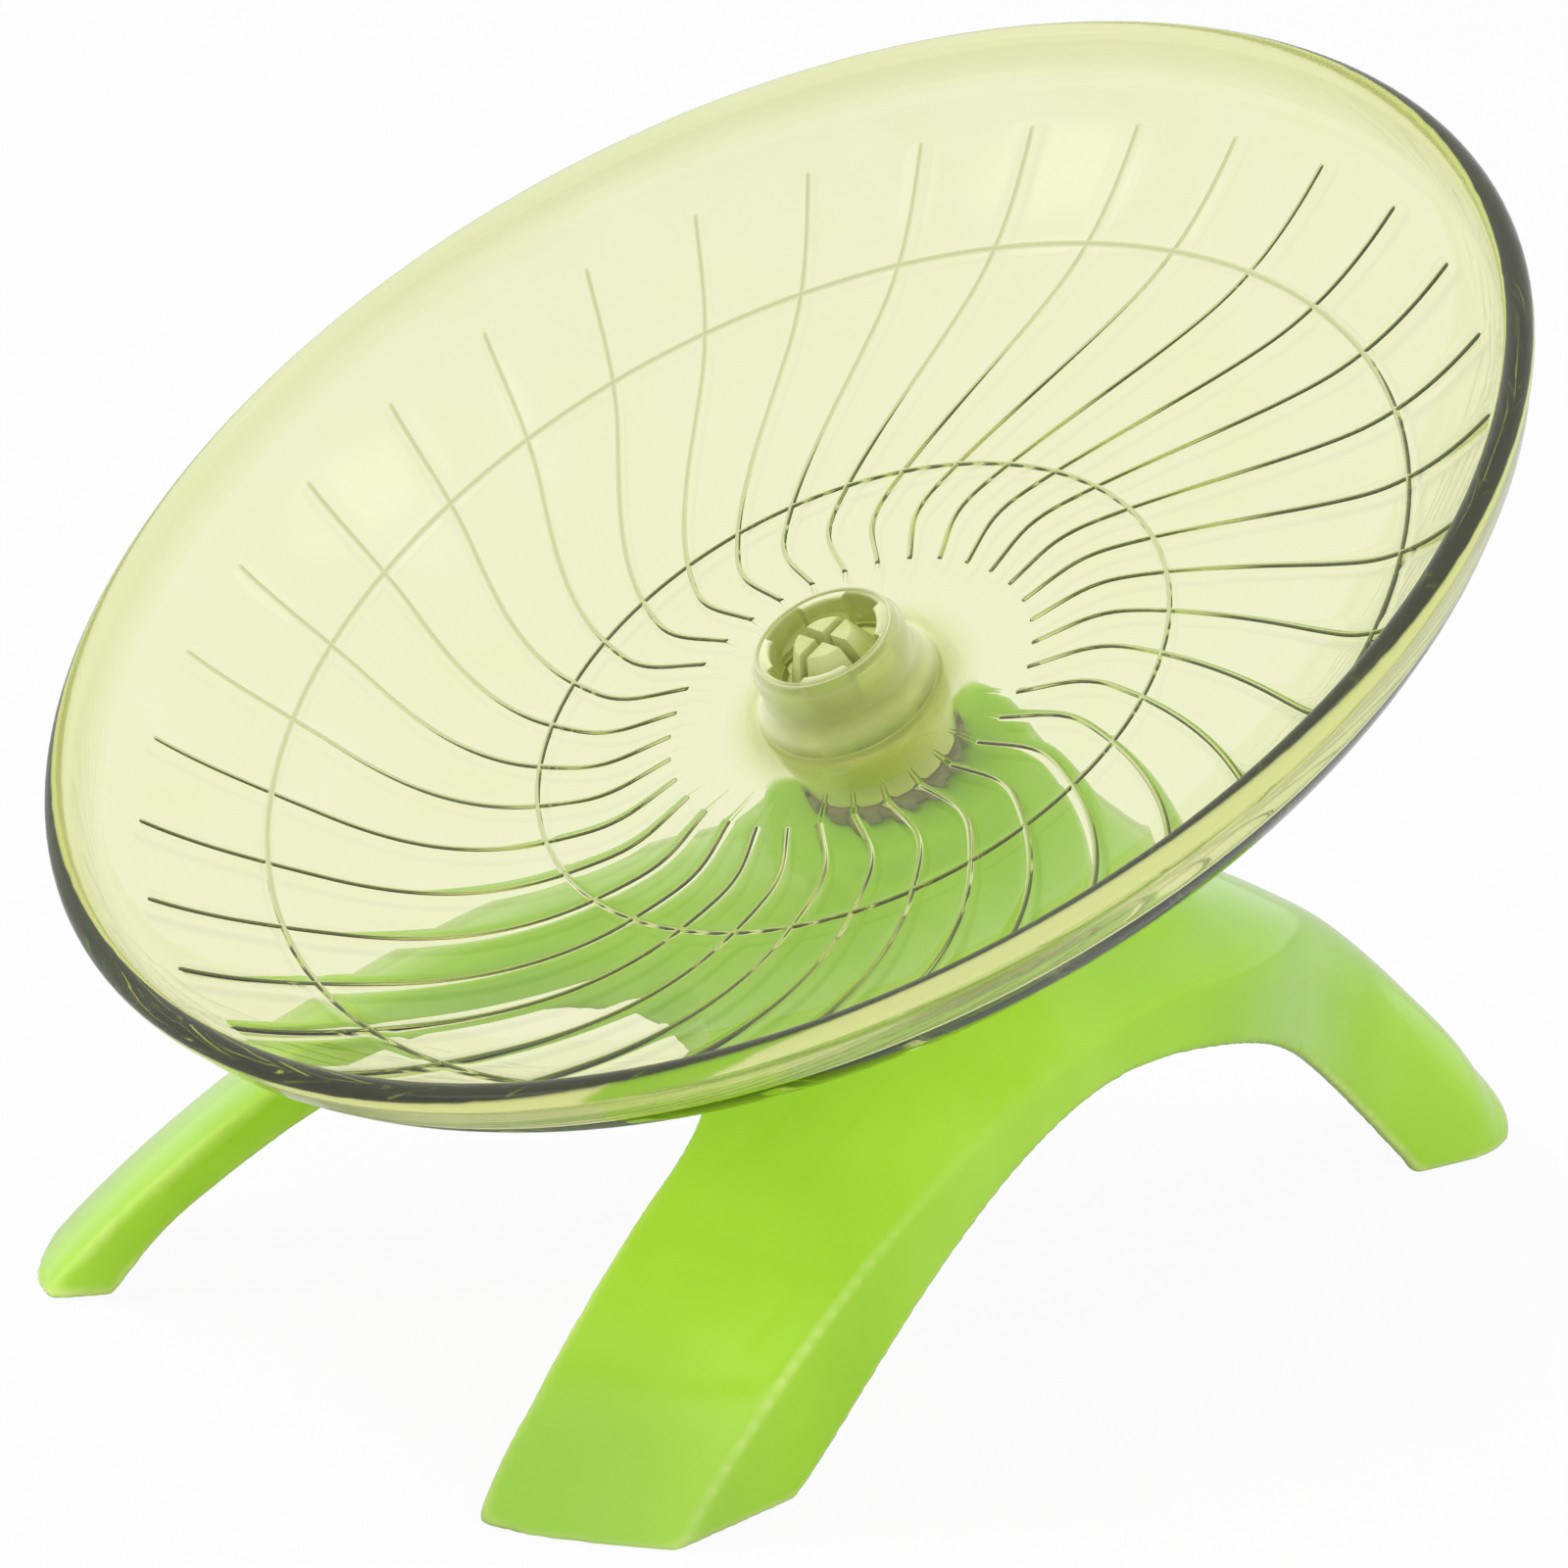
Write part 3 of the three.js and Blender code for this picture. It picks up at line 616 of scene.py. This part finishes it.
def half_outline(corner):
    """The left half of the stand seen from above, from the crotch round to the rear end."""
    inner = Vector((dome_edge(FOOT_INNER), FOOT_INNER))
    outer = Vector((dome_edge(FOOT_OUTER), FOOT_OUTER))
    inward = Vector((math.cos(INNER_SPLAY), math.sin(INNER_SPLAY)))
    outward = Vector((math.cos(OUTER_SPLAY), math.sin(OUTER_SPLAY)))
    crotch = inner.x - FOOT_INNER / math.tan(INNER_SPLAY) + CROTCH_RADIUS / math.sin(INNER_SPLAY)
    half = REAR_LEG_WIDTH / 2
    waist = Vector((WAIST, outer.y - (outer.x - WAIST) * math.tan(OUTER_SPLAY)))
    reach = (WAIST - REAR_LEG_START) * WAIST_PULL
    line = []
    for i in range(CROTCH_STEPS + 1):
        angle = math.pi + (INNER_SPLAY - math.pi / 2) * i / CROTCH_STEPS
        line.append(Vector((crotch + CROTCH_RADIUS * math.cos(angle), CROTCH_RADIUS * math.sin(angle))))
    if corner:
        before = inner - inward * corner
        line.append(before)
        line += bezier([before, inner, inner + (outer - inner).normalized() * corner], 8)
    else:
        line.append(inner)
    line.append(outer + outward * OVERRUN)
    line.append(waist)
    leg = Vector((REAR_LEG_START, half))
    line += bezier([waist, waist - outward * reach, leg + Vector((reach, 0)), leg], WAIST_STEPS)
    for i in range(REAR_STEPS + 1):
        angle = math.pi / 2 * (1 + i / REAR_STEPS)
        line.append(Vector((REAR_END - REAR_REACH + REAR_END * math.cos(angle), half * math.sin(angle))))
    return line


def both_sides(half):
    return half + [Vector((p.x, -p.y)) for p in reversed(half) if abs(p.y) > OVERRUN * MM]


def inset(outline, wall):
    drawn = []
    for i, at in enumerate(outline):
        a = (at - outline[i - 1]).normalized()
        b = (outline[(i + 1) % len(outline)] - at).normalized()
        drawn.append(at + Vector((-a.y - b.y, a.x + b.x)) * wall / (1 + a.dot(b)))
    return drawn


def rear_span(half, depth, bottom):
    """The rear half as a row of cross sections with rounded upper edges."""
    rings = []
    for at in half:
        width = max(at.y, OVERRUN * MM)
        share = min(max((WAIST - at.x) / (WAIST - REAR_LEG_START), 0), 1)
        edge = max(WAIST_EDGE + (REAR_EDGE - WAIST_EDGE) * share - depth, WAIST_EDGE)
        edge = min(edge, width, dome_height(at.x, width, depth))
        section = [(width, bottom)]
        for i in range(EDGE_STEPS + 1):
            angle = math.pi / 2 * i / EDGE_STEPS
            y = width - edge * (1 - math.cos(angle))
            section.append((y, dome_height(at.x, y, depth) - edge * (1 - math.sin(angle))))
        for i in range(1, EDGE_STEPS + 1):
            y = (width - edge) * (1 - i / EDGE_STEPS)
            section.append((y, dome_height(at.x, y, depth)))
        section += [(-y, z) for y, z in reversed(section[:-1])]
        rings.append([(at.x, y, z) for y, z in section])
    return lofted("rear_span", rings)


def shell_body(half, depth):
    """Both halves of the stand as one solid, for the outer face or for one that lies deeper."""
    bottom = -OVERRUN if depth else 0
    turn = next(i for i, p in enumerate(half) if p.x < WAIST + NEAR)
    body = dome(depth)
    cut(body, upright(both_sides(half[:turn + 1]), bottom, DOME_RISE + OVERRUN), "INTERSECT")
    start = half[turn].lerp(half[turn - 1], OVERRUN / (half[turn] - half[turn - 1]).length)
    cut(body, rear_span([start] + half[turn:], depth, bottom), "UNION")
    cut(body, crown(depth), "UNION")
    return body


def crown(depth):
    """The crown from its tilted top down to the flared base inside the dome."""
    steps, edge_steps, flare_steps = 96, 8, 24
    radius = CROWN_RADIUS - depth
    edge = max(CROWN_EDGE - depth, 0)
    turns = [2 * math.pi * k / steps for k in range(steps)]
    rings = []
    for i in range(edge_steps + 1 if edge else 1):
        angle = math.pi / 2 * i / edge_steps
        size = radius - edge * (1 - math.sin(angle))
        level = -depth - edge * (1 - math.cos(angle))
        rings.append([CROWN_PLACE @ Vector((size * math.cos(a), size * math.sin(a), level)) for a in turns])
    neck = rings[-1]
    length = (CROWN_BASE_FRONT + CROWN_BASE_REAR) / 2 - depth
    middle = (CROWN_BASE_FRONT - CROWN_BASE_REAR) / 2
    width = CROWN_BASE_WIDTH / 2 - depth
    base = [Vector((middle + length * math.cos(a), width * math.sin(a), CROWN_BASE_HEIGHT - depth))
            for a in turns]
    for i in range(1, flare_steps + 1):
        out = (i / flare_steps) ** CROWN_FLARE
        down = 1 - (1 - i / flare_steps) ** CROWN_FLARE
        rings.append([(a.x + (b.x - a.x) * out, a.y + (b.y - a.y) * out, a.z + (b.z - a.z) * down)
                      for a, b in zip(neck, base)])
    return lofted("crown", rings)


def side_arch(reach, curve, low, high):
    """The tunnel of the arch on one side, along Y."""
    front, rear = reach
    line = [(-rear, -OVERRUN)]
    for i in range(-ARCH_STEPS, ARCH_STEPS + 1):
        share = i / ARCH_STEPS
        rise = SIDE_ARCH_RISE * (1 - share ** 2) ** (curve if share > 0 else 1)
        line.append((share * (front if share > 0 else rear), rise))
    line.append((front, -OVERRUN))
    return lofted("side_arch", [[(x, y, z) for x, z in line] for y in (low, high)])


def front_arch(side):
    """The arch through the inner wall of one front leg, square to that wall; side is 1 or -1."""
    end = FRONT_ARCH_START + FRONT_ARCH_LENGTH
    line = [(FRONT_ARCH_START, -OVERRUN)]
    for i in range(ARCH_STEPS + 1):
        rise = FRONT_ARCH_RISE * math.sin(math.pi / 2 * i / ARCH_STEPS) ** FRONT_ARCH_CURVE
        line.append((FRONT_ARCH_START + FRONT_ARCH_LENGTH * i / ARCH_STEPS, rise))
    line.append((end, -OVERRUN))
    depth = CROTCH_RADIUS * (1 - math.sin(INNER_SPLAY)) + NEAR
    obj = lofted("front_arch", [[(x, y, z) for x, z in line] for y in (side * -OVERRUN, side * depth)])
    obj.data.transform(Matrix.Translation((dome_edge(FOOT_INNER), side * FOOT_INNER, 0))
                       @ Matrix.Rotation(math.pi + side * INNER_SPLAY, 4, "Z"))
    return obj


def group_inner_edges(obj):
    """Names a vertex group on the upper edges between the front legs, much rounder than the others."""
    line = half_outline(0)[:CROTCH_STEPS + 2]
    path = []
    for a, b in zip(line, line[1:]):
        steps = max(int((b - a).length), 1)
        path += [a.lerp(b, i / steps) for i in range(steps)]
    path = np.array([tuple(p) for p in path])
    heights = np.array([dome_height(x, y, 0) for x, y in path])
    places = vertex_places(obj.data)
    group = obj.vertex_groups.new(name="inner_edges")
    for i in np.flatnonzero(places[:, 0] > path[:, 0].min() - ROUND_REACH):
        x, y, z = places[i]
        away = np.hypot(path[:, 0] - x, path[:, 1] - abs(y))
        near = away.argmin()
        deep = (heights[near] - z) / min(ROUND_REACH, 0.5 * heights[near] + 1)
        beside = 1.4 - away[near] / ROUND_REACH * 1.4
        below = 2 - 1.6 * abs(deep)
        weight = min(beside, below, 1)
        if y > 0:
            weight *= LEFT_ROUND_SHARE
        if weight > 0:
            group.add([int(i)], weight, "REPLACE")
    return group.name


def mark_edges(obj):
    """An attribute that is 1 along the edges of the lower legs and 0 on the open faces, for the painted
    highlight on those edges.
    """
    mesh = obj.data
    count = len(mesh.vertices)
    places = vertex_places(mesh)
    normals = np.zeros(count * 3)
    mesh.vertex_normals.foreach_get("vector", normals)
    ends = np.zeros(len(mesh.edges) * 2, int)
    mesh.edges.foreach_get("vertices", ends)
    normals, ends = normals.reshape(-1, 3), ends.reshape(-1, 2)
    sides = np.concatenate([ends, ends[:, ::-1]])
    near = np.bincount(sides[:, 0], minlength=count)
    step = places[sides[:, 1]] - places[sides[:, 0]]
    length = np.maximum(np.linalg.norm(step, axis=1), NEAR)
    fall = -(step * normals[sides[:, 0]]).sum(1) / length ** 2
    bend = np.bincount(sides[:, 0], fall, count) / near
    for _ in range(5):
        bend = (bend + np.bincount(sides[:, 0], bend[sides[:, 1]], count) / near) / 2
    edge = mesh.attributes.new("edge", "FLOAT", "POINT")
    low = np.clip((EDGE_HIGHLIGHT_TOP - places[:, 2]) / (EDGE_HIGHLIGHT_TOP / 2), 0, 1)
    edge.data.foreach_set("value", np.interp(bend, EDGE_BEND, (0, 1)) * low)


def stand_moulding():
    """The thin domed shell with its arches, as one moulding with softened edges."""
    sharp = half_outline(0)
    inner = inset(both_sides(sharp), STAND_WALL)[:len(sharp)]
    obj = shell_body(half_outline(FOOT_CORNER), 0)
    obj.name = "stand_moulding"
    cut(obj, shell_body(inner, STAND_WALL))
    socket = rod(SHANK_RADIUS + SEAT_GAP + SOCKET_WALL, -SHANK_LENGTH - SOCKET_FLOOR, -STAND_WALL / 2)
    socket.data.transform(CROWN_PLACE)
    cut(obj, socket, "UNION")
    cut(obj, side_arch(LEFT_ARCH, LEFT_ARCH_CURVE, 0, DOME_WIDTH / 2))
    cut(obj, side_arch(RIGHT_ARCH, RIGHT_ARCH_CURVE, -DOME_WIDTH / 2, 0))
    for side in (1, -1):
        cut(obj, front_arch(side))
    remesh = obj.modifiers.new("even", "REMESH")
    remesh.mode = "VOXEL"
    remesh.voxel_size = MESH_STEP
    apply_modifiers(obj)
    soften(obj, SOFT_TIMES)
    thin = obj.modifiers.new("thin", "DECIMATE")
    thin.ratio = KEPT_SHARE
    apply_modifiers(obj)
    soften(obj, ROUND_TIMES, group_inner_edges(obj))
    bore = rod(SHANK_RADIUS + SEAT_GAP, -SHANK_LENGTH, OVERRUN)
    bore.data.transform(CROWN_PLACE)
    cut(obj, bore)
    for vertex in obj.data.vertices:
        vertex.co.z = max(vertex.co.z, 0)
    mark_edges(obj)
    shift = Vector(joint["pos_m"]) / MM - CROWN_TOP
    obj.data.transform(Matrix.Scale(MM, 4) @ Matrix.Translation(shift))
    smooth(obj, 50)
    return obj


def rod(radius, low, high):
    bpy.ops.mesh.primitive_cylinder_add(
        vertices=96, radius=radius, depth=high - low, location=(0, 0, (low + high) / 2))
    bpy.ops.object.transform_apply()
    return bpy.context.object


# ---- materials

def material(name):
    made = bpy.data.materials.new(name)
    made.use_nodes = True
    made.node_tree.nodes.clear()
    return made


def add(tree, kind, settings=None, links=None, **values):
    """A node with its settings, its constants and its links, each from (node, output)."""
    node = tree.nodes.new("ShaderNode" + kind)
    for key, value in (settings or {}).items():
        setattr(node, key, value)
    for key, value in values.items():
        node.inputs[key.replace("_", " ")].default_value = value
    for key, (source, output) in (links or {}).items():
        tree.links.new(source.outputs[output], node.inputs[key])
    return node


def ramp(tree, source, stops):
    """Colours at their places along a value from (node, output)."""
    node = add(tree, "ValToRGB", links={"Fac": source})
    band = node.color_ramp
    while len(band.elements) < len(stops):
        band.elements.new(0.5)
    for element, (place, code) in zip(band.elements, stops):
        element.position = place
        element.color = linear(code)
    return node


def noise(tree, size_mm, detail, stretch=(1, 1, 1)):
    """Noise over the piece with features of about the size given."""
    place = add(tree, "TexCoord")
    turn = add(tree, "Mapping", links={"Vector": (place, "Object")}, Scale=stretch)
    return add(tree, "TexNoise", links={"Vector": (turn, "Vector")}, Scale=1 / (size_mm * MM), Detail=detail)


def grain(tree, size_mm, strength, height_mm):
    texture = noise(tree, size_mm, 0)
    return add(tree, "Bump", links={"Height": (texture, "Fac")}, Strength=strength, Distance=height_mm * MM)


def spread(tree, texture, low, high):
    return add(tree, "MapRange", links={"Value": (texture, "Fac")}, From_Min=0.3, From_Max=0.7,
               To_Min=low, To_Max=high)


def through_shadow(tree, surface, shade):
    """The surface, but a tinted clear sheet for light on its way to what lies behind."""
    clear = add(tree, "BsdfTransparent", Color=linear(shade))
    path = add(tree, "LightPath")
    return add(tree, "MixShader", links={"Fac": (path, "Is Shadow Ray"), 1: (surface, 0), 2: (clear, 0)})


def finish_surface(tree, surface, tint=None, depth_mm=1):
    out = add(tree, "OutputMaterial", links={"Surface": (surface, 0)})
    if tint:
        depth = add(tree, "VolumeAbsorption", Color=linear(tint), Density=1 / (depth_mm * MM))
        tree.links.new(depth.outputs[0], out.inputs["Volume"])


# The hub is painted paler and cloudier where its wall turns away, a painted sheen.
OUTLINE_SHEEN = 0.42  # how much cloudier the hub is where its wall turns away


def clear_polystyrene():
    """Injection moulded clear polystyrene, tinted in the mass: the thin bowl is barely yellow-green, and the
    thick bead looks deep olive, partly from a darker olive milky share that is painted shade. The hub came
    from a grained core, so it is milky and olive in its middle; the darker olive in its recess is painted
    shade, and its paler outline, where the wall turns away, is a painted sheen. The grip lines are painted
    olive and partly milky, painted shade for the dark side of their refraction. Handling has left a faint
    haze and scuffs on the bowl."""
    made = material("moulded_clear_polystyrene")
    tree = made.node_tree
    haze = noise(tree, 14, 4)
    tone = ramp(tree, (haze, "Fac"), [(0.3, "#f7f8e0"), (0.7, "#f9fae6")])
    scuffed = spread(tree, haze, 0.0, 0.035)
    zone = add(tree, "Attribute", {"attribute_name": "zone"})
    drawn_out = add(tree, "MapRange", links={"Value": (zone, "Fac")}, From_Max=BEAD_HAZE, To_Max=0.12)
    rough = add(tree, "Math", {"operation": "MAXIMUM"}, {0: (scuffed, "Result"), 1: (drawn_out, "Result")})
    wave = grain(tree, 5, 0.04, 0.03)
    glass = add(tree, "BsdfPrincipled", IOR=1.49, Transmission_Weight=1.0, links={
        "Base Color": (tone, "Color"), "Roughness": (rough, "Value"), "Normal": (wave, "Normal")})
    # The bead and the recess take a darker olive than the hub's body, painted shade; the body's olive is the
    # tinted plastic.
    hub_tone = ramp(tree, (zone, "Fac"), [(0.1, "#bcc586"), (0.5, "#d9de96"), (0.9, "#bcc480")])
    # Painted sheen: the hub's body turns paler and cloudier towards its outline.
    facing = add(tree, "LayerWeight", Blend=0.5)
    sheen_at_outline = add(tree, "MapRange", links={"Value": (facing, "Facing")}, From_Min=0.1, From_Max=0.65)
    body_only = ramp(tree, (zone, "Fac"), [(0.2, "#000000"), (0.45, "#ffffff"), (0.75, "#000000")])
    painted_sheen_share = add(tree, "Math", {"operation": "MULTIPLY"}, {
        0: (sheen_at_outline, "Result"), 1: (body_only, "Color")})
    body_tone = add(tree, "MixRGB", links={"Fac": (painted_sheen_share, "Value"), "Color1": (hub_tone, "Color")},
                    Color2=linear("#f9fae0"))
    # Painted shade: the grip lines take an olive tone and a milky share, for the dark side of their
    # refraction.
    line = add(tree, "Attribute", {"attribute_name": "line"})
    tinted = add(tree, "MixRGB", links={"Fac": (line, "Fac"), "Color1": (body_tone, "Color")},
                 Color2=linear("#93a14e"))
    milky = add(tree, "BsdfPrincipled", Roughness=0.2, IOR=1.49,
                links={"Base Color": (tinted, "Color"), "Normal": (wave, "Normal")})
    cloudy = add(tree, "MapRange", links={"Value": (zone, "Fac")}, From_Max=0.5, To_Max=0.44)
    drawn = add(tree, "MapRange", links={"Value": (line, "Fac")}, To_Max=0.5)
    at_edge = add(tree, "Math", {"operation": "MULTIPLY_ADD"}, {
        0: (painted_sheen_share, "Value"), 2: (cloudy, "Result")})
    at_edge.inputs[1].default_value = OUTLINE_SHEEN
    share = add(tree, "Math", {"operation": "MAXIMUM"}, {0: (at_edge, "Value"), 1: (drawn, "Result")})
    both = add(tree, "MixShader", links={"Fac": (share, "Value"), 1: (glass, 0), 2: (milky, 0)})
    finish_surface(tree, through_shadow(tree, both, "#f8f9ec"), "#f0f3b8", 4.6)
    return made


def milky_nylon():
    """Moulded nylon, olive and cloudy, with a satin surface: the prongs catch pale facets and look soft."""
    made = material("moulded_olive_nylon")
    tree = made.node_tree
    cloud = noise(tree, 3, 3)
    tone = ramp(tree, (cloud, "Fac"), [(0.35, "#c6ce80"), (0.65, "#d3da98")])
    rough = spread(tree, cloud, 0.2, 0.35)
    fine = grain(tree, 0.5, 0.15, 0.02)
    body = add(tree, "BsdfPrincipled", IOR=1.53, Transmission_Weight=0.15, links={
        "Base Color": (tone, "Color"), "Roughness": (rough, "Result"), "Normal": (fine, "Normal")})
    finish_surface(tree, body)
    return made


# A spot low in the left front foot, and how far the darker, greyer green round it reaches, in metres
DARK_SPOT_PLACE = (0.096, 0.045, 0.004)
DARK_SPOT_CORE = 0.006
DARK_SPOT_REACH = 0.034


def lime_plastic():
    """Injection moulded lime polypropylene with a polished tool: glossy and a little translucent, paler in
    slow places of the melt, with a painted highlight that makes the low edges of the legs paler, darker and
    greyer round a spot low in the left front foot, with faint flow lines and a fine orange peel in the
    highlights."""
    made = material("moulded_lime_polypropylene")
    tree = made.node_tree
    cloud = noise(tree, 38, 3)
    tone = ramp(tree, (cloud, "Fac"), [(0.3, "#99cc2c"), (0.5, "#a2d434"), (0.72, "#aedc4a")])
    # Painted highlight: the convex edges of the lower legs turn paler.
    edge = add(tree, "Attribute", {"attribute_name": "edge"})
    painted_highlight = add(tree, "MapRange", links={"Value": (edge, "Fac")}, To_Max=0.7)
    highlighted_tone = add(tree, "MixRGB", links={"Fac": (painted_highlight, "Result"), "Color1": (tone, "Color")},
                Color2=linear("#d9ec92"))
    # Darker, greyer green round a spot low in the left front foot.
    place = add(tree, "TexCoord")
    away = add(tree, "VectorMath", {"operation": "DISTANCE"}, {0: (place, "Object")})
    away.inputs[1].default_value = DARK_SPOT_PLACE
    dark_spot = add(tree, "MapRange", {"interpolation_type": "SMOOTHSTEP"}, {"Value": (away, "Value")},
                From_Min=DARK_SPOT_CORE, From_Max=DARK_SPOT_REACH, To_Min=0.6, To_Max=0.0)
    spotted_tone = add(tree, "MixRGB", links={"Fac": (dark_spot, "Result"), "Color1": (highlighted_tone, "Color")},
                  Color2=linear("#86ad4a"))
    flow = noise(tree, 9, 4, (1, 1, 0.3))
    rough = spread(tree, flow, 0.06, 0.16)
    peel = grain(tree, 2, 0.1, 0.02)
    looks = {"Base Color": (spotted_tone, "Color"), "Roughness": (rough, "Result"), "Normal": (peel, "Normal")}
    shell = add(tree, "BsdfPrincipled", IOR=1.49, Specular_IOR_Level=0.33, Subsurface_Weight=0.15,
                Subsurface_Scale=0.004, links=looks)
    finish_surface(tree, shell)
    return made


def smoked_acetal():
    """Moulded smoked acetal, satin: a plain greyish band under the hub."""
    made = material("moulded_smoked_acetal")
    tree = made.node_tree
    cloud = noise(tree, 2.5, 3)
    tone = ramp(tree, (cloud, "Fac"), [(0.35, "#857a76"), (0.65, "#968c88")])
    rough = spread(tree, cloud, 0.28, 0.42)
    fine = grain(tree, 0.4, 0.2, 0.02)
    body = add(tree, "BsdfPrincipled", IOR=1.48, links={
        "Base Color": (tone, "Color"), "Roughness": (rough, "Result"), "Normal": (fine, "Normal")})
    finish_surface(tree, body)
    return made


# ---- floor, light and camera

WHITE_SHARE = 0.94  # of what the camera sees of the floor; the rest is paper with the wheel's shadow
ROOM_LIGHT = 0.53
# Soft patches of the room: direction, inner and outer radius in degrees, strength. The first is the bright
# side of the room behind the wheel, and the other two show in the clear dish.
PATCHES = [
    ((-0.6, -0.6, 0.53), 60, 150, 0.42),
    ((0.87, -0.35, 0.34), 0, 13, 0.9),
    ((0.14, 0.32, 0.94), 0, 12, 0.7),
]
LAMP_SIZE = 0.9
LAMP_TARGET = (0, 0, 0.05)
LENS = 137.5
CAMERA_PLACE = (0.47788, 0.4856, 0.2394)
CAMERA_RIGHT = (-0.7429, 0.6655, 0.0723)
CAMERA_BACK = (0.6584, 0.7068, 0.2586)


def studio_floor():
    """White paper that still takes the wheel's shadow."""
    bpy.ops.mesh.primitive_plane_add(size=6, location=(0, 0, -0.0002))
    floor = bpy.context.object
    floor.name = "studio_floor"
    made = material("white_paper")
    tree = made.node_tree
    paper = add(tree, "BsdfDiffuse", Color=linear("#cccccc"))
    white = add(tree, "Emission", Color=(1, 1, 1, 1), Strength=1.0)
    path = add(tree, "LightPath")
    seen = add(tree, "Math", {"operation": "MAXIMUM"}, {
        0: (path, "Is Camera Ray"), 1: (path, "Is Transmission Ray")})
    share = add(tree, "Math", {"operation": "MULTIPLY"}, {0: (seen, "Value")})
    share.inputs[1].default_value = WHITE_SHARE
    mix = add(tree, "MixShader", links={"Fac": (share, "Value"), 1: (paper, 0), 2: (white, 0)})
    finish_surface(tree, mix)
    floor.data.materials.append(made)


def glow(tree, place, towards, inner, outer, strength):
    """A round soft patch of the room in one direction, its radii in degrees."""
    to = add(tree, "VectorMath", {"operation": "DOT_PRODUCT"}, {0: (place, "Generated")})
    to.inputs[1].default_value = Vector(towards).normalized()
    return add(tree, "MapRange", {"interpolation_type": "SMOOTHSTEP"}, {"Value": (to, "Value")},
               From_Min=math.cos(math.radians(outer)), From_Max=math.cos(math.radians(inner)),
               To_Min=0.0, To_Max=strength)


def studio_world():
    """A white backdrop for the camera, and a dimmer room with soft patches for the light on the wheel."""
    world = bpy.data.worlds.new("studio")
    bpy.context.scene.world = world
    world.use_nodes = True
    tree = world.node_tree
    tree.nodes.clear()
    place = add(tree, "TexCoord")
    first, *others = [glow(tree, place, *patch) for patch in PATCHES]
    total = add(tree, "Math", {"operation": "ADD"}, {0: (first, "Result")})
    total.inputs[1].default_value = ROOM_LIGHT
    for light in others:
        total = add(tree, "Math", {"operation": "ADD"}, {0: (total, "Value"), 1: (light, "Result")})
    dim = add(tree, "Background", Color=(1, 1, 1, 1), links={"Strength": (total, "Value")})
    white = add(tree, "Background", Color=(1, 1, 1, 1), Strength=1.0)
    path = add(tree, "LightPath")
    mix = add(tree, "MixShader", links={"Fac": (path, "Is Camera Ray"), 1: (dim, 0), 2: (white, 0)})
    add(tree, "OutputWorld", links={"Surface": (mix, 0)})


def lamp(name, place, power):
    """A square softbox; the clear dish doesn't show it."""
    data = bpy.data.lights.new(name, "AREA")
    data.size = LAMP_SIZE
    data.energy = power
    obj = bpy.data.objects.new(name, data)
    bpy.context.scene.collection.objects.link(obj)
    obj.location = place
    obj.rotation_euler = (Vector(LAMP_TARGET) - Vector(place)).to_track_quat("-Z", "Y").to_euler()
    obj.visible_glossy = False
    obj.visible_transmission = False


def camera():
    data = bpy.data.cameras.new("camera")
    data.lens = LENS
    data.sensor_width = 36
    obj = bpy.data.objects.new("camera", data)
    bpy.context.scene.collection.objects.link(obj)
    right = Vector(CAMERA_RIGHT).normalized()
    back = Vector(CAMERA_BACK).normalized()
    up = back.cross(right).normalized()
    right = up.cross(back)
    turn = Matrix((right, up, back)).transposed().to_4x4()
    obj.matrix_world = Matrix.Translation(CAMERA_PLACE) @ turn
    bpy.context.scene.camera = obj


def dress(obj, made, body, node):
    obj.data.materials.clear()
    obj.data.materials.append(made)
    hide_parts(node)
    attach(obj, body)


dress(stand_moulding(), lime_plastic(), "stand", "stand_shell")
dress(clear_dish(), clear_polystyrene(), "dish", "running_dish")
dress(snap_pin(), milky_nylon(), "stand", "axle_pin")
dress(toothed_ring(), smoked_acetal(), "stand", "thrust_ring")

studio_floor()
studio_world()
lamp("key", (0.9, -0.75, 0.95), 9.8)
lamp("side", (0.3, 1.25, 0.45), 6.5)
camera()

view = bpy.context.scene.view_settings
view.view_transform = "Standard"
